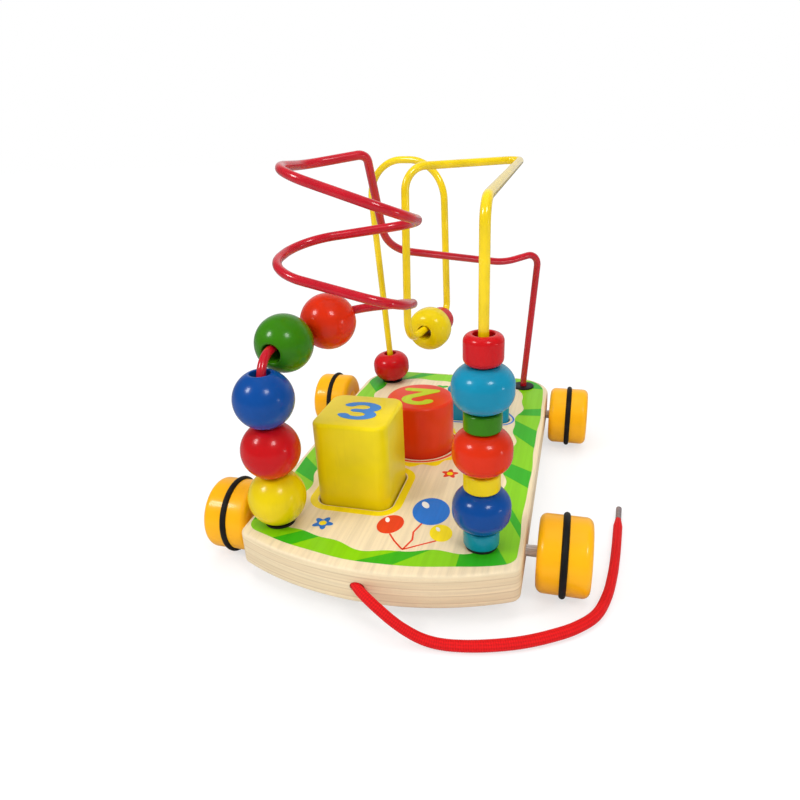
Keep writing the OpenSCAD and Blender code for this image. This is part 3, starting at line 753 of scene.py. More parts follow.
def drill(piece, radius, start, stop):
    """Drills a hole from one point to another, in millimetres."""
    first, last = Vector(start) * MM, Vector(stop) * MM
    fresh()
    bpy.ops.mesh.primitive_cylinder_add(
        vertices=ROUND_SIDES, radius=radius * MM, depth=(last - first).length, location=(first + last) / 2,
        rotation=(last - first).to_track_quat("Z", "Y").to_euler())
    cut(piece, bpy.context.object)


def flared(name, outlines, heights):
    """A solid through outlines of as many points at their heights, each drawn on from the last."""
    piece = plate(name, outlines[0], heights[0], heights[1])
    only(piece)
    bpy.ops.object.mode_set(mode="EDIT")
    for before, after, height, top in zip(outlines, outlines[1:], heights[1:], heights[2:] + heights[-1:]):
        mesh = bmesh.from_edit_mesh(piece.data)
        for vert in mesh.verts:
            if at_height([vert], height):
                x, y = after[nearest(before, vert)]
                vert.co.x, vert.co.y = x * MM, y * MM
        bmesh.update_edit_mesh(piece.data)
        if top > height:
            bpy.ops.mesh.select_all(action="DESELECT")
            mesh = bmesh.from_edit_mesh(piece.data)
            for face in mesh.faces:
                if at_height(face.verts, height):
                    face.select_set(True)
            bmesh.update_edit_mesh(piece.data)
            bpy.ops.mesh.extrude_region_move(TRANSFORM_OT_translate={"value": (0, 0, (top - height) * MM)})
    bpy.ops.object.mode_set(mode="OBJECT")
    return piece


def joined(name, parts):
    """One piece from several."""
    only(parts[0])
    for part in parts[1:]:
        part.select_set(True)
    bpy.ops.object.join()
    return named(bpy.context.object, name)


def copy_to(master, name, place):
    """A copy of a modelled shape with its own mesh, moved to its place in the frame."""
    piece = master.copy()
    piece.data = master.data.copy()
    bpy.context.scene.collection.objects.link(piece)
    piece.data.transform(place)
    return named(piece, name)


def dress(piece, material, body, slot, *nodes):
    """Gives a piece its finish and its body, and hides the nodes that it stands for; its slot is not used."""
    piece.data.materials.clear()
    piece.data.materials.append(material)
    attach(piece, body)
    if nodes:
        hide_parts(*nodes)
    return piece


def middle(node):
    """Middle of a node's box at rest."""
    low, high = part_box(node)
    return (Vector(low) + Vector(high)) / 2


def turned(place, axis):
    """Moves a shape to a place and turns its Z axis to a direction."""
    return Matrix.Translation(place) @ Vector(axis).to_track_quat("Z", "Y").to_matrix().to_4x4()


# Flat outlines, in millimetres

def arc(x, y, radius, first, last, steps):
    """Points of an arc from one angle to another, in degrees."""
    angles = [math.radians(first + (last - first) * k / steps) for k in range(steps + 1)]
    return [(x + radius * math.cos(a), y + radius * math.sin(a)) for a in angles]


def board_outline(inset=0.0, front_r=FRONT_CORNER_R, rear_r=REAR_CORNER_R, steps=14):
    """The board's outline, or one inside it, from the left end of the bowed edge round to the left side."""
    bow_y, bow_r = BOW_R - BOARD_HALF_L, BOW_R - inset
    front_x = BOARD_HALF_W - inset - front_r
    front_y = bow_y - math.sqrt((bow_r - front_r) ** 2 - front_x ** 2)
    rear_x, rear_y = BOARD_HALF_W - inset - rear_r, BOARD_HALF_L - inset - rear_r
    meet = math.degrees(math.atan2(front_y - bow_y, front_x))
    return (arc(0, bow_y, bow_r, -180 - meet, meet, 4 * steps)
            + arc(front_x, front_y, front_r, meet, 0, steps)[1:]
            + arc(rear_x, rear_y, rear_r, 0, 90, steps)
            + arc(-rear_x, rear_y, rear_r, 90, 180, steps)
            + arc(-front_x, front_y, front_r, 180, 180 - meet, steps)[:-1])


def rounded_polygon(sides, place, wide, corner, steps=12):
    """Regular polygon with rounded corners, one side facing the front."""
    reach = (wide - 2 * corner) / (2 * math.sin(math.pi / sides))
    half = 180 / sides
    points = []
    for i in range(sides):
        a = half - 90 + 360 * i / sides
        x, y = place[0] + reach * math.cos(math.radians(a)), place[1] + reach * math.sin(math.radians(a))
        points += arc(x, y, corner, a - half, a + half, steps)
    return points


def three_outline(grow):
    """Outline of the square block, or one outside it."""
    return rounded_polygon(4, THREE["place"], THREE["wide"] + 2 * grow, THREE["corner"] + grow)


def two_outline(grow):
    """Outline of the round block, or one outside it."""
    return oval(*TWO["place"], TWO["wide"] / 2 + grow, TWO["wide"] / 2 + grow, 72)


def one_outline(grow):
    """Outline of the triangular block, or one outside it."""
    return rounded_polygon(3, ONE["place"], ONE["wide"] + 2 * grow, ONE["corner"] + grow)


def oval(x, y, across, deep, steps=36, turn=0.0):
    """An oval, turned about its middle."""
    c, s = math.cos(math.radians(turn)), math.sin(math.radians(turn))
    points = [(across * math.cos(2 * math.pi * k / steps), deep * math.sin(2 * math.pi * k / steps))
              for k in range(steps)]
    return [(x + u * c - v * s, y + u * s + v * c) for u, v in points]


def blossom(x, y, radius, petals, depth=0.22, turn=0.0, steps=72):
    """Outline with round petals."""
    points = []
    for k in range(steps):
        a = 2 * math.pi * k / steps
        reach = radius * (1 - depth + depth * math.cos(petals * a))
        a += math.radians(turn)
        points.append((x + reach * math.cos(a), y + reach * math.sin(a)))
    return points


def star(x, y, outer, inner, rays):
    """A star with straight rays."""
    points = []
    for k in range(2 * rays):
        reach, a = inner if k % 2 else outer, math.pi * k / rays
        points.append((x + reach * math.cos(a), y + reach * math.sin(a)))
    return points


def evenly(loop, count):
    """The same loop with its points evenly spaced."""
    closed = loop + loop[:1]
    lengths = [math.dist(a, b) for a, b in zip(closed, closed[1:])]
    total, points, i, passed = sum(lengths), [], 0, 0.0
    for k in range(count):
        want = total * k / count
        while passed + lengths[i] < want:
            passed += lengths[i]
            i += 1
        t = (want - passed) / lengths[i]
        (x0, y0), (x1, y1) = closed[i], closed[i + 1]
        points.append((x0 + (x1 - x0) * t, y0 + (y1 - y0) * t))
    return points


def waved(loop, high, waves):
    """The loop with its points moved inwards and outwards in waves."""
    count, points = len(loop), []
    for k, (x, y) in enumerate(loop):
        (x0, y0), (x1, y1) = loop[k - 1], loop[(k + 1) % count]
        run = math.hypot(x1 - x0, y1 - y0)
        swing = high * math.sin(2 * math.pi * waves * k / count) + 0.5 * high * math.sin(
            2 * math.pi * (2 * waves + 3) * k / count + 1.0)
        points.append((x - (y1 - y0) / run * swing, y + (x1 - x0) / run * swing))
    return points


def stroke(line, wide):
    """Outline of a pen stroke with round ends and round outer corners."""
    half = wide / 2
    heads = [math.atan2(b[1] - a[1], b[0] - a[0]) for a, b in zip(line, line[1:])]

    def off(point, heading, reach):
        return (point[0] - reach * math.sin(heading), point[1] + reach * math.cos(heading))

    def along(points, turns, reach):
        edge = [off(points[0], turns[0], reach)]
        for point, before, after in zip(points[1:-1], turns, turns[1:]):
            bend = (after - before + math.pi) % (2 * math.pi) - math.pi
            if bend * reach > 0 or abs(bend) < 0.5:
                edge.append(off(point, before + bend / 2, reach / math.cos(bend / 2)))
            else:
                edge += [off(point, before + bend * k / 6, reach) for k in range(7)]
        return edge + [off(points[-1], turns[-1], reach)]

    def cap(point, heading):
        return [off(point, heading - math.pi * k / 10, half) for k in range(1, 10)]

    return (along(line, heads, half) + cap(line[-1], heads[-1])
            + along(line, heads, -half)[::-1] + cap(line[0], heads[0] + math.pi))


def number_three(wide):
    """Outline of a round three about the origin, as two bowls that share their middle bar."""
    r, half, stub, end = 4.1, wide / 2, 1.0, 158
    notch = math.degrees(math.atan2(r, math.sqrt(r * wide + half * half)))
    tail = (r * math.cos(math.radians(end)), -r - r * math.sin(math.radians(end)))
    head = (tail[0], -tail[1])
    return (arc(0, r, r + half, end, -notch, 30) + arc(0, -r, r + half, notch, -end, 30)[1:]
            + arc(*tail, half, -end, -end - 180, 10)[1:-1]
            + arc(0, -r, r - half, -end, 90, 30)
            + arc(-stub, 0, half, -90, -270, 10)
            + arc(0, r, r - half, -90, end, 30)
            + arc(*head, half, end - 180, end - 360, 10)[1:-1])


def number_two(wide):
    """Outline of a two about the origin."""
    return stroke(arc(0, 3.6, 4.0, 165, -38, 22) + [(-4.4, -6.6), (5.0, -6.6)], wide)


def number_one(wide):
    """Outline of a one about the origin."""
    return stroke([(-3.0, 4.0), (0.6, 7.0), (0.6, -7.0)], wide)


def placed(outline, place, turn, across, deep):
    """An outline about the origin, stretched, turned and moved to its place."""
    c, s = math.cos(math.radians(turn)), math.sin(math.radians(turn))
    points = [(x * across, y * deep) for x, y in outline]
    return [(place[0] + u * c - v * s, place[1] + u * s + v * c) for u, v in points]


# Bent wires and the cord

class Bend:
    """One bend of a wire: its frame, radius and turn."""

    def __init__(self, path, bends, i):
        points = [Vector(p) for p in path]

        def heading(k):
            return (points[k + 1] - points[k]).normalized()

        def want(k):
            if k in (0, len(points) - 1):
                return 0.0
            return bends[k] * math.tan(heading(k - 1).angle(heading(k)) / 2)

        def room(k):
            return BEND_ROOM * (points[k + 1] - points[k]).length / (want(k) + want(k + 1))

        ease = min(1.0, room(i - 1), room(i))
        self.radius = bends[i] * ease
        self.setback = want(i) * ease
        self.into, self.out = heading(i - 1), heading(i)
        self.turn = self.into.angle(self.out)
        self.inward = self.into.cross(self.out).normalized().cross(self.into)
        self.centre = points[i] - self.into * self.setback + self.inward * self.radius

    def at(self, angle):
        """Point of the bend at an angle from its start."""
        return self.centre + self.radius * (self.into * math.sin(angle) - self.inward * math.cos(angle))

    def along(self, angle):
        """Heading of the wire at an angle from the bend's start."""
        return self.into * math.cos(angle) + self.inward * math.sin(angle)


def wire_line(path, bends):
    """Centre line of a wire with its bends drawn as arcs."""
    line = [Vector(path[0])]
    for i in range(1, len(path) - 1):
        bend = Bend(path, bends, i)
        steps = max(6, math.ceil(math.degrees(bend.turn) / 4))
        line += [bend.at(bend.turn * k / steps) for k in range(steps + 1)]
    return line + [Vector(path[-1])]


def wire_piece(name, path, bends, diameter):
    """A wire: a curve with a round section, made a mesh."""
    line = wire_line(path, bends)
    curve = bpy.data.curves.new(name, "CURVE")
    curve.dimensions = "3D"
    curve.bevel_depth, curve.bevel_resolution, curve.use_fill_caps = diameter / 2, 6, True
    curve.twist_mode = "MINIMUM"
    spline = curve.splines.new("POLY")
    spline.points.add(len(line) - 1)
    for point, place in zip(spline.points, line):
        point.co = (*(place * MM), 1.0)
    piece = bpy.data.objects.new(name, curve)
    bpy.context.scene.collection.objects.link(piece)
    only(piece)
    bpy.ops.object.convert(target="MESH")
    bpy.ops.object.mode_set(mode="EDIT")
    merged()
    return rounded(named(bpy.context.object, name), 40.0)


def cord_mouth():
    """Middle of the mouth of the cord's hole, and the heading out of it."""
    turn = math.radians(CORD_TURN)
    return Vector((CORD_SIDE, -BOARD_HALF_L, AXLE_Z)), Vector((math.sin(turn), -math.cos(turn), 0.0))


def cord_route():
    """Corners of the cord's route, as in the part's source."""
    mouth, out = cord_mouth()
    route = [mouth - out * back for back in (CORD_HOLE - CORD_END_GAP, CORD_HOLE / 2, -CORD_STRAIGHT)]
    for across, deep, drop in CORD_SHARES:
        route.append(Vector((CORD_SIDE + across * (WHEEL_FACE - CORD_SIDE), -deep * BOARD_HALF_L,
                             CORD_FLOOR + drop * (AXLE_Z - CORD_FLOOR))))
    return route


def smooth_line(route, steps):
    """A smooth curve through the route's points."""
    last, line = len(route) - 1, []
    for i in range(last):
        a, b, c, d = (route[min(max(k, 0), last)] for k in (i - 1, i, i + 1, i + 2))
        for k in range(steps):
            t = k / steps
            line.append(b + (c - a) * t / 2 + (a - 2.5 * b + 2 * c - d / 2) * t * t
                        + (3 * b - a - 3 * c + d) * t ** 3 / 2)
    return line + [route[last]]


def walked(line, step):
    """Points evenly spaced along a line, and their distances."""
    gone = [0.0]
    for a, b in zip(line, line[1:]):
        gone.append(gone[-1] + (b - a).length)
    count, points, i = max(2, round(gone[-1] / step)), [], 0
    for k in range(count + 1):
        want = gone[-1] * k / count
        while i < len(line) - 2 and gone[i + 1] < want:
            i += 1
        points.append(line[i].lerp(line[i + 1], (want - gone[i]) / (gone[i + 1] - gone[i])))
    return points, [gone[-1] * k / count for k in range(count + 1)]


def cord_piece(name, line, gone, cord):
    """The braid: rings of points round the line, raised where strands cross, mapped along and round."""
    sides, strands = 40, 5
    lies_from, rises_from, settling = 40.0, 60.0, 40.0
    slim, spread, tip, tip_long = 0.96, 0.20, 0.62, 7.0
    radius, total = cord.diameter / 2, gone[-1]
    mesh = bmesh.new()
    layer = mesh.loops.layers.uv.new("braid")
    rings, last = [], len(line) - 1
    for i, (place, so_far) in enumerate(zip(line, gone)):
        ahead = (line[min(i + 1, last)] - line[max(i - 1, 0)]).normalized()
        side = ahead.cross(Vector((0, 0, 1))).normalized()
        up = side.cross(ahead)
        lying = (min(1.0, max(0.0, (so_far - lies_from) / settling))
                 * min(1.0, max(0.0, (total - rises_from - so_far) / settling)))
        taper = min(1.0, tip + (1.0 - tip) * (total - so_far) / tip_long)
        wide, tall = radius * (slim + spread * lying) * taper, radius * slim * taper
        points = []
        for k in range(sides):
            a = 2 * math.pi * k / sides
            u, v = so_far * MM / cord.pitch, strands * k / sides
            weave = math.sin(2 * math.pi * (u + v)) * math.sin(2 * math.pi * (u - v))
            lift = cord.relief * (0.5 * weave - 0.5)
            points.append(mesh.verts.new(place * MM + side * ((wide + lift) * math.cos(a))
                                         + up * ((tall + lift) * math.sin(a))))
        rings.append(points)
    for i in range(last):
        for k in range(sides):
            face = mesh.faces.new((rings[i][k], rings[i][(k + 1) % sides],
                                   rings[i + 1][(k + 1) % sides], rings[i + 1][k]))
            spots = ((i, k), (i, k + 1), (i + 1, k + 1), (i + 1, k))
            for loop, (row, spot) in zip(face.loops, spots):
                loop[layer].uv = (gone[row] * MM / cord.pitch, strands * spot / sides)
    mesh.faces.new(rings[0])
    mesh.faces.new(rings[-1][::-1])
    bmesh.ops.recalc_face_normals(mesh, faces=mesh.faces)
    data = bpy.data.meshes.new(name)
    mesh.to_mesh(data)
    mesh.free()
    piece = bpy.data.objects.new(name, data)
    bpy.context.scene.collection.objects.link(piece)
    return rounded(piece, 60.0)


# Operators

class MAZE_OT_camera(bpy.types.Operator):
    """Sets the camera at the photograph's viewing angle"""
    bl_idname = "maze.camera"
    bl_label = "Camera"

    def execute(self, context):
        data = bpy.data.cameras.new("camera")
        data.sensor_width, data.lens = 36.0, context.scene.maze_stage.lens
        data.clip_start, data.clip_end = 0.01, 20.0
        camera = bpy.data.objects.new("camera", data)
        context.scene.collection.objects.link(camera)
        back, up = -Vector(CAMERA_AHEAD).normalized(), Vector(CAMERA_UP)
        up = (up - back * back.dot(up)).normalized()
        turn = Matrix((up.cross(back), up, back)).transposed().to_4x4()
        camera.matrix_world = Matrix.Translation(Vector(CAMERA_PLACE) * MM) @ turn
        context.scene.camera = camera
        return {"FINISHED"}


class MAZE_OT_cord(bpy.types.Operator):
    """Lays the braided pull cord and the sleeve on its free end"""
    bl_idname = "maze.cord"
    bl_label = "Pull cord"

    def execute(self, context):
        cord = context.scene.maze_cord
        line, gone = walked(smooth_line(cord_route(), CORD_STEPS), CORD_SPACING)
        piece = cord_piece("red_pull_cord", line, gone, cord)
        dress(piece, braid(cord), CHASSIS, "cord_red", "pull_cord")
        end, before = line[-1], line[-4]
        profile = ([(0.35, -2.5), (1.2, -2.5), (1.45, -0.6), (SLEEVE_R, 0.0), (1.52, 0.5), (1.52, 5.0),
                    (1.46, 5.4), (1.52, 5.8), (1.54, SLEEVE_LONG - 1.0)]
                   + arc(1.0, SLEEVE_LONG - 0.55, 0.54, 0, 90, 5) + [(0.35, SLEEVE_LONG - 0.2)])
        tip = lathe("cord_sleeve", profile, 32)
        tip.data.transform(turned(end * MM, end - before))
        dress(tip, sleeve_plastic(cord.sleeve), CHASSIS, "cord_sleeve", "cord_tip")
        gone[-1] * MM
        [tuple(point * MM) for point in line]
        return {"FINISHED"}


class MAZE_OT_board(bpy.types.Operator):
    """Saws the board, rounds its edges and cuts the pockets and bores"""
    bl_idname = "maze.board"
    bl_label = "Board"

    def execute(self, context):
        board = context.scene.maze_board
        piece = plate("wooden_board", board_outline(), BOARD_LOW, BOARD_TOP)
        round_rim(piece, BOARD_TOP, board.arris, 4)
        round_rim(piece, BOARD_LOW, board.arris, 4)
        flare = board.pocket_flare / MM
        for outline in (three_outline, two_outline, one_outline):
            narrow, wide = outline(POCKET_GAP), outline(POCKET_GAP + flare)
            heights = [POCKET_LOW, BOARD_TOP - flare, BOARD_TOP + SKIM, BOARD_TOP + OVERRUN]
            cut(piece, flared("pocket", [narrow, narrow, wide, wide], heights))
        side = BOARD_HALF_W + OVERRUN
        for y in (-AXLE_Y, AXLE_Y):
            drill(piece, AXLE_BORE_R, (-side, y, AXLE_Z), (side, y, AXLE_Z))
        for x, y in POSTS.values():
            drill(piece, POST_HOLE_R, (x, y, BOARD_TOP - POST_HOLE_DEEP), (x, y, BOARD_TOP + OVERRUN))
        mouth, out = cord_mouth()
        drill(piece, CORD_HOLE_R, mouth - out * CORD_HOLE, mouth + out * CORD_OVERRUN)
        rounded(piece)
        dress(piece, plywood(board), CHASSIS, "board_wood", "base_board")
        return {"FINISHED"}


class MAZE_OT_print(bpy.types.Operator):
    """Prints the green border, the rings round the pockets and a few plain shapes"""
    bl_idname = "maze.print"
    bl_label = "Print"

    def layer(self, board, name, tint, outlines, step):
        """Plates of one ink, a step above the wood; a pair of outlines makes a band."""
        low, high = BOARD_TOP - INK_SUNK, BOARD_TOP + board.ink_lift / MM * (1 + INK_STEP_SHARE * step)
        pairs = [outline if isinstance(outline, tuple) else (outline, None) for outline in outlines]
        parts = [plate(f"{name}_{i}", rim, low, high, hollow) for i, (rim, hollow) in enumerate(pairs)]
        dress(joined(name, parts), ink(f"{name}_ink", tint), CHASSIS, "board_wood")

    def band(self, outline, edges):
        """The outer and the inner edge of a ring round a pocket."""
        return tuple(outline(edge) for edge in edges)

    def border(self):
        """The border's two edges, and the bars across it."""
        rim = waved(evenly(board_outline(*RIM), BORDER_POINTS), *RIM_WAVES)
        rim = [(x, y + FRONT_BARE * max(0.0, (-y - FRONT_BARE_FROM) / FRONT_BARE_OVER) ** 1.5)
               for x, y in rim]
        bed = waved(evenly(board_outline(*BED), BORDER_POINTS), *BED_WAVES)
        bars = []
        for i, first in enumerate(range(FIRST_BAR, BORDER_POINTS, BAR_STEP)):
            wide, lean = BAR_WIDTHS[i % len(BAR_WIDTHS)], BAR_LEANS[i % len(BAR_LEANS)]
            outer = [rim[(first + j) % BORDER_POINTS] for j in range(wide)]
            inner = [bed[(first + lean + j) % BORDER_POINTS] for j in range(wide)]
            bars.append(outer + inner[::-1])
        return rim, bed, bars

    def execute(self, context):
        board = context.scene.maze_board
        rim, bed, bars = self.border()
        leaves = [blossom(x, y, size, 3, 0.30, turn) for x, y, size, turn in LEAVES]
        blues, reds = ([blossom(x, y, size, 5, 0.22, turn) for x, y, size, turn, _ in flowers]
                       for flowers in (BLUE_FLOWERS, RED_FLOWERS))
        blues += [oval(*balloon) for balloon in BLUE_BALLOONS]
        blues.append(self.band(one_outline, ONE_RING))
        reds += [stroke(string, STRING_W) for string in STRINGS]
        reds += [oval(*RED_BALLOON), star(*STAR, STAR_R, STAR_INNER_R, 12), self.band(two_outline, TWO_RING)]
        petals = (blossom(*TWO["place"], PETALS_R, PETALS, 0.06), two_outline(PETALS_FROM))
        yellows = [oval(*YELLOW_BALLOON), self.band(three_outline, THREE_RING), petals]
        hearts = [oval(x, y, heart, heart, 24) for x, y, _, _, heart in BLUE_FLOWERS + RED_FLOWERS]
        hearts.append(oval(*STAR, STAR_HEART_R, STAR_HEART_R))
        shines = [oval(*shine) for shine in SHINES]
        self.layer(board, "print_grass", board.grass, [(rim, bed)], 0)
        self.layer(board, "print_bars", board.bar, bars + leaves, 1)
        self.layer(board, "print_blue", board.blue, blues, 0)
        self.layer(board, "print_red", board.red, reds, 0)
        self.layer(board, "print_yellow", board.yellow, yellows, 0)
        self.layer(board, "print_yellow_dots", board.yellow, hearts, 1)
        self.layer(board, "print_white", board.white, shines, 1)
        return {"FINISHED"}


class MAZE_OT_collars(bpy.types.Operator):
    """Turns the black collars that hold the wires' ends"""
    bl_idname = "maze.collars"
    bl_label = "Collars"

    def execute(self, context):
        wires = context.scene.maze_wires
        bore, spigot, flange, thick, deep, lip = 2.25, 4.5, 7.5, 1.2, 8.0, 0.55
        profile = ([(bore, -deep), (spigot - 0.4, -deep), (spigot, -deep + 0.6), (spigot, 0.0),
                    (flange - 0.2, 0.0)]
                   + arc(flange - lip, lip, lip, -45, 80, 7)
                   + [(flange - 2.2, thick - 0.03), (bore + 0.9, thick), (bore + 0.25, thick - 0.1),
                      (bore, thick - 0.4)])
        master = lathe("collar", profile, 56)
        material = rubber("collar_black", wires.collar, wires.collar_rough)
        for post, (x, y) in POSTS.items():
            place = Matrix.Translation(Vector((x, y, BOARD_TOP)) * MM)
            piece = copy_to(master, f"black_collar_{post}", place)
            dress(piece, material, CHASSIS, "collar_black", f"collar_{post}")
        bpy.data.objects.remove(master)
        return {"FINISHED"}


class MAZE_OT_wires(bpy.types.Operator):
    """Bends the red and the yellow wire"""
    bl_idname = "maze.wires"
    bl_label = "Wires"

    def execute(self, context):
        wires = context.scene.maze_wires
        for tint, path, bends in (("red", RED_PATH, RED_BENDS), ("yellow", YELLOW_PATH, YELLOW_BENDS)):
            piece = wire_piece(f"painted_{tint}_wire", path, bends, wires.diameter)
            paint = wire_paint(f"{tint}_wire_paint", getattr(wires, tint))
            dress(piece, paint, CHASSIS, f"wire_{tint}", f"{tint}_wire")
        return {"FINISHED"}


class MAZE_OT_wheels(bpy.types.Operator):
    """Turns the four wheels with their rubber rings and the two axles"""
    bl_idname = "maze.wheels"
    bl_label = "Wheels and axles"

    def execute(self, context):
        wheels = context.scene.maze_wheels
        rim, half, edge = wheels.rim_radius / MM, wheels.width / MM / 2, wheels.edge / MM
        bore, ring_r, section = wheels.bore / MM, wheels.ring_radius / MM, wheels.ring_section / MM / 2
        seat = section + RING_CLEAR
        open_angle = math.degrees(math.acos((rim - ring_r) / seat))
        upper = [(bore, half - BORE_CHAMFER), (bore + BORE_CHAMFER, half), (GROOVE_R - GROOVE_HALF_W, half),
                 (GROOVE_R, half - GROOVE_DEEP), (GROOVE_R + GROOVE_HALF_W, half)]
        upper += arc(rim - edge, half - edge, edge, 90, 0, 9)
        dip = arc(ring_r, 0, seat, open_angle, 360 - open_angle, 14)
        wheel = lathe("wheel", [(r, -h) for r, h in upper] + dip[::-1] + upper[::-1], 96)
        tyre = lathe("tyre", arc(ring_r, 0, section, 0, 360 - 360 / RING_POINTS, RING_POINTS - 1), 96)
        paint = lacquer("orange_stain", wheels.wood, wheels.gloss, WHEEL_GRAIN)
        black = rubber("ring_rubber", wheels.rubber, wheels.rubber_rough)
        steel = steel_rod(wheels.steel)
        for end in ("front", "rear"):
            body = f"{end}_axle_set"
            for side in ("left", "right"):
                node = f"wheel_{end}_{side}"
                place = turned(middle(node), ACROSS)
                dress(copy_to(wheel, f"wooden_{node}", place), paint, body, "wheel_orange", node)
                node = f"tyre_{end}_{side}"
                dress(copy_to(tyre, f"rubber_{node}", place), black, body, "tyre_black", node)
            rod = self.rod(f"{end}_axle", wheels.axle_chamfer)
            dress(rod, steel, body, "axle_steel", f"{end}_axle")
        bpy.data.objects.remove(wheel)
        bpy.data.objects.remove(tyre)
        return {"FINISHED"}

    def rod(self, node, chamfer):
        """A rod in an axle's place, with its ends chamfered."""
        low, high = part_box(node)
        long, thick = high[0] - low[0], high[2] - low[2]
        fresh()
        bpy.ops.mesh.primitive_cylinder_add(vertices=ROUND_SIDES, radius=thick / 2, depth=long)
        piece = named(bpy.context.object, f"steel_{node}")
        for height in (long / 2 / MM, -long / 2 / MM):
            round_rim(piece, height, chamfer, 2)
        piece.data.transform(turned(middle(node), ACROSS))
        return rounded(piece)


def bead_axis(node):
    """Direction of a bead's hole."""
    if node in BALL_ANGLES:
        return Bend(RED_PATH, RED_BENDS, SWEEP).along(math.radians(BALL_ANGLES[node]))
    if node.startswith("loop"):
        return Vector(YELLOW_PATH[LOOP_HEEL]) - Vector(YELLOW_PATH[LOOP_FOOT])
    if node.startswith("rear"):
        return Vector(YELLOW_PATH[LEFT_SHOULDER]) - Vector(YELLOW_PATH[LEFT_FOOT])
    return Vector((0, 0, 1))


def thread(master, beads, settings):
    """Copies of one bead shape, each on its wire."""
    for node, tint in beads.items():
        name = f"{tint}_lacquer"
        if name not in bpy.data.materials:
            lacquer(name, getattr(settings, tint), settings.gloss)
        piece = copy_to(master, f"lacquered_{node}", turned(middle(node), bead_axis(node)))
        dress(piece, bpy.data.materials[name], f"{node}_body", f"bead_{tint}", node)
    bpy.data.objects.remove(master)


def hole_rim(hole, flat, rim):
    """Points from a bead's upper flat over the rounded rim into its hole."""
    return arc(hole + rim, flat - rim, rim, 90, 180, 5)


def both_halves(upper):
    """A profile's upper half, from the outside to the hole, with its lower half before it."""
    return [(r, -h) for r, h in upper][::-1] + [(r, h) for r, h in upper if h > 0]


class MAZE_OT_balls(bpy.types.Operator):
    """Turns the five balls of the red wire"""
    bl_idname = "maze.balls"
    bl_label = "Balls"

    def execute(self, context):
        beads = context.scene.maze_beads
        flat = math.sqrt(BALL_R ** 2 - BALL_FLAT_R ** 2)
        swell = math.degrees(math.asin(flat / BALL_R))
        upper = arc(0, 0, BALL_R, 0, swell, 26) + hole_rim(BALL_HOLE_R, flat, beads.rim / MM)
        thread(lathe("ball", both_halves(upper), 80), BALLS, beads)
        return {"FINISHED"}


class MAZE_OT_beads(bpy.types.Operator):
    """Turns the fat beads, the discs between them and the barrels"""
    bl_idname = "maze.beads"
    bl_label = "Beads"

    def execute(self, context):
        beads = context.scene.maze_beads
        for name, tints, radius, half, edge, edge_steps, steps in BEAD_SHAPES:
            upper = ([(radius, 0.0)] + arc(radius - edge, half - edge, edge, 0, 90, edge_steps)
                     + hole_rim(BEAD_HOLE_R, half, beads.rim / MM))
            thread(lathe(name, both_halves(upper), steps), tints, beads)
        return {"FINISHED"}


class MAZE_OT_blocks(bpy.types.Operator):
    """Shapes the three counting blocks and paints their numbers"""
    bl_idname = "maze.blocks"
    bl_label = "Counting blocks"

    def execute(self, context):
        blocks = context.scene.maze_blocks
        wide, lift = blocks.stroke / MM, blocks.paint_lift / MM
        made = (("three", THREE, three_outline, number_three), ("two", TWO, two_outline, number_two),
                ("one", ONE, one_outline, number_one))
        for word, block, outline, number in made:
            top, body = block["top"], f"block_{word}_body"
            piece = plate(f"painted_block_{word}", outline(0), BLOCK_LOW, top)
            round_rim(piece, top, blocks.top_edge, 6)
            round_rim(piece, BLOCK_LOW, blocks.top_edge / 2, 3)
            rounded(piece)
            paint = lacquer(f"block_{word}_paint", getattr(blocks, word), blocks.gloss, BLOCK_GRAIN)
            dress(piece, paint, body, block["slot"], f"block_{word}")
            shape = placed(number(wide), *block["figure"])
            figure = plate(f"number_{word}", shape, top - INK_SUNK, top + lift)
            colouring = ink(f"number_{word}_paint", getattr(blocks, f"{word}_paint"))
            dress(figure, colouring, body, block["slot"])
        return {"FINISHED"}


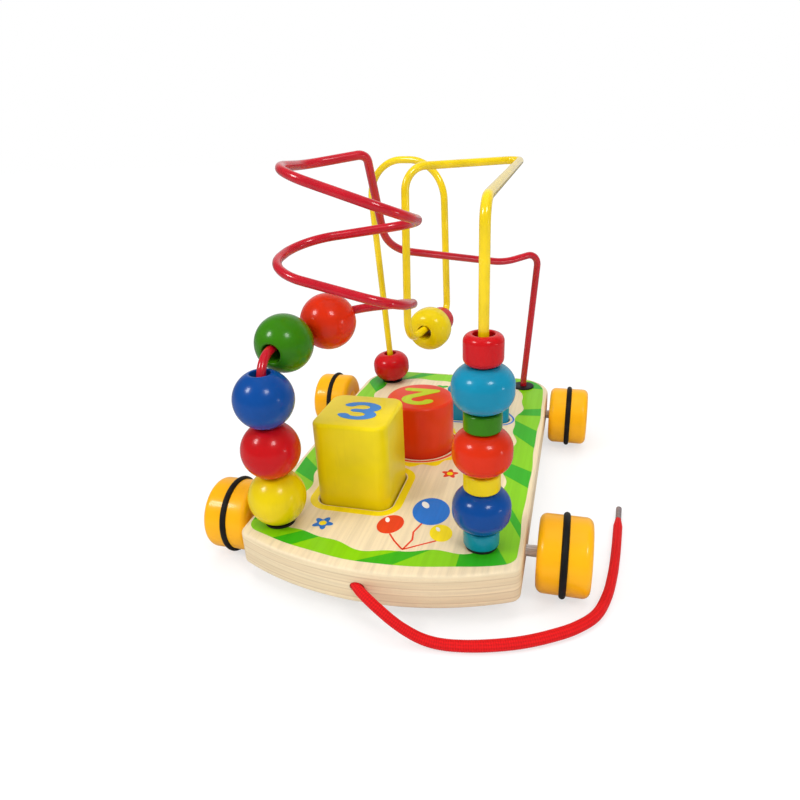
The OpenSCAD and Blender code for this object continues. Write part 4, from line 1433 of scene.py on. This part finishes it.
class MAZE_OT_stage(bpy.types.Operator):
    """Sets the floor, the soft lights and the white surround"""
    bl_idname = "maze.stage"
    bl_label = "Stage"

    def lamp(self, context, name, watts):
        """A round soft lamp that faces the maze."""
        place, wide, glossy = LAMPS[name]
        data = bpy.data.lights.new(f"{name}_light", "AREA")
        data.shape, data.size, data.energy = "DISK", wide, watts
        lamp = bpy.data.objects.new(f"{name}_light", data)
        lamp.matrix_world = turned(Vector(place), Vector(place) - Vector(LAMPS_AIM))
        lamp.visible_glossy = glossy
        context.scene.collection.objects.link(lamp)

    def execute(self, context):
        stage = context.scene.maze_stage
        context.scene.view_settings.view_transform = "Standard"
        for name in LAMPS:
            self.lamp(context, name, getattr(stage, name))
        self.floor(stage)
        self.surround(context, stage)
        return {"FINISHED"}

    def floor(self, stage):
        """A pale floor that keeps the shadow."""
        fresh()
        bpy.ops.mesh.primitive_plane_add(size=FLOOR_WIDE)
        bpy.ops.object.mode_set(mode="EDIT")
        bpy.ops.mesh.subdivide(number_cuts=3)
        bpy.ops.object.mode_set(mode="OBJECT")
        floor = named(bpy.context.object, "floor")
        finish = Finish("pale_floor")
        cloud = finish.noise(finish.place, 3.0, 2.0)
        tone = finish.tones(cloud, stage.floor, 0.99, 1.01)
        floor.data.materials.append(finish.surface(Base_Color=tone, Roughness=0.9, Specular_IOR_Level=0.0))
        rays = finish.node("ShaderNodeLightPath")
        away = finish.node("ShaderNodeVectorMath", {"operation": "LENGTH"}, {0: finish.place})["Value"]
        white = rays["Is Camera Ray"] * (1.0 - SHADOW_SHARE + SHADOW_SHARE * away.ramp(*SHADOW_FADES))
        lit = Val(finish, finish.shader.outputs["BSDF"])
        seen = finish.blended(white, lit, finish.glow("ShaderNodeEmission", FLOOR_GLOW))
        both = finish.blended(rays["Is Glossy Ray"] * FLOOR_MIRRORED_SHARE, seen,
                              finish.glow("ShaderNodeEmission", stage.mirrored))
        finish.feed(finish.end.inputs["Surface"], both)

    def surround(self, context, stage):
        """White where it is seen, softer where it lights; mirrored, a dim room with a white backdrop."""
        world = bpy.data.worlds.new("surround")
        context.scene.world = world
        world.use_nodes = True
        graph = Graph(world.node_tree)
        rays = graph.node("ShaderNodeLightPath")
        back = graph.parts(graph.node("ShaderNodeTexCoord")["Generated"])["Y"]
        room = back.ramp(*BACKDROP_FADES, stage.mirrored, stage.backdrop)
        strengths = (stage.sky, room, 1.0)
        lit, mirrored, seen = (graph.glow("ShaderNodeBackground", strength) for strength in strengths)
        shown = graph.blended(rays["Is Glossy Ray"], lit, mirrored)
        shown = graph.blended(rays["Is Camera Ray"], shown, seen)
        graph.node("ShaderNodeOutputWorld", None, {"Surface": shown})


STEPS = (MAZE_OT_camera, MAZE_OT_cord, MAZE_OT_board, MAZE_OT_print, MAZE_OT_collars, MAZE_OT_wires,
         MAZE_OT_wheels, MAZE_OT_balls, MAZE_OT_beads, MAZE_OT_blocks, MAZE_OT_stage)


class MAZE_PT_sidebar(bpy.types.Panel):
    """Lists the steps and the settings of the bead maze"""
    bl_idname = "MAZE_PT_sidebar"
    bl_label = "Bead Maze"
    bl_space_type = "VIEW_3D"
    bl_region_type = "UI"
    bl_category = "Bead Maze"

    def draw(self, context):
        for step in STEPS:
            self.layout.operator(step.bl_idname)
        for key, settings in SETTINGS.items():
            box = self.layout.box()
            for prop in settings.__annotations__:
                box.prop(getattr(context.scene, key), prop)


CLASSES = (*SETTINGS.values(), *STEPS, MAZE_PT_sidebar)


def register():
    for cls in CLASSES:
        bpy.utils.register_class(cls)
    for key, settings in SETTINGS.items():
        setattr(bpy.types.Scene, key, PointerProperty(type=settings))


def unregister():
    for key in SETTINGS:
        delattr(bpy.types.Scene, key)
    for cls in reversed(CLASSES):
        bpy.utils.unregister_class(cls)


def main():
    register()
    for step in STEPS:
        getattr(bpy.ops.maze, step.bl_idname.split(".")[1])()


if __name__ == "__main__":
    main()
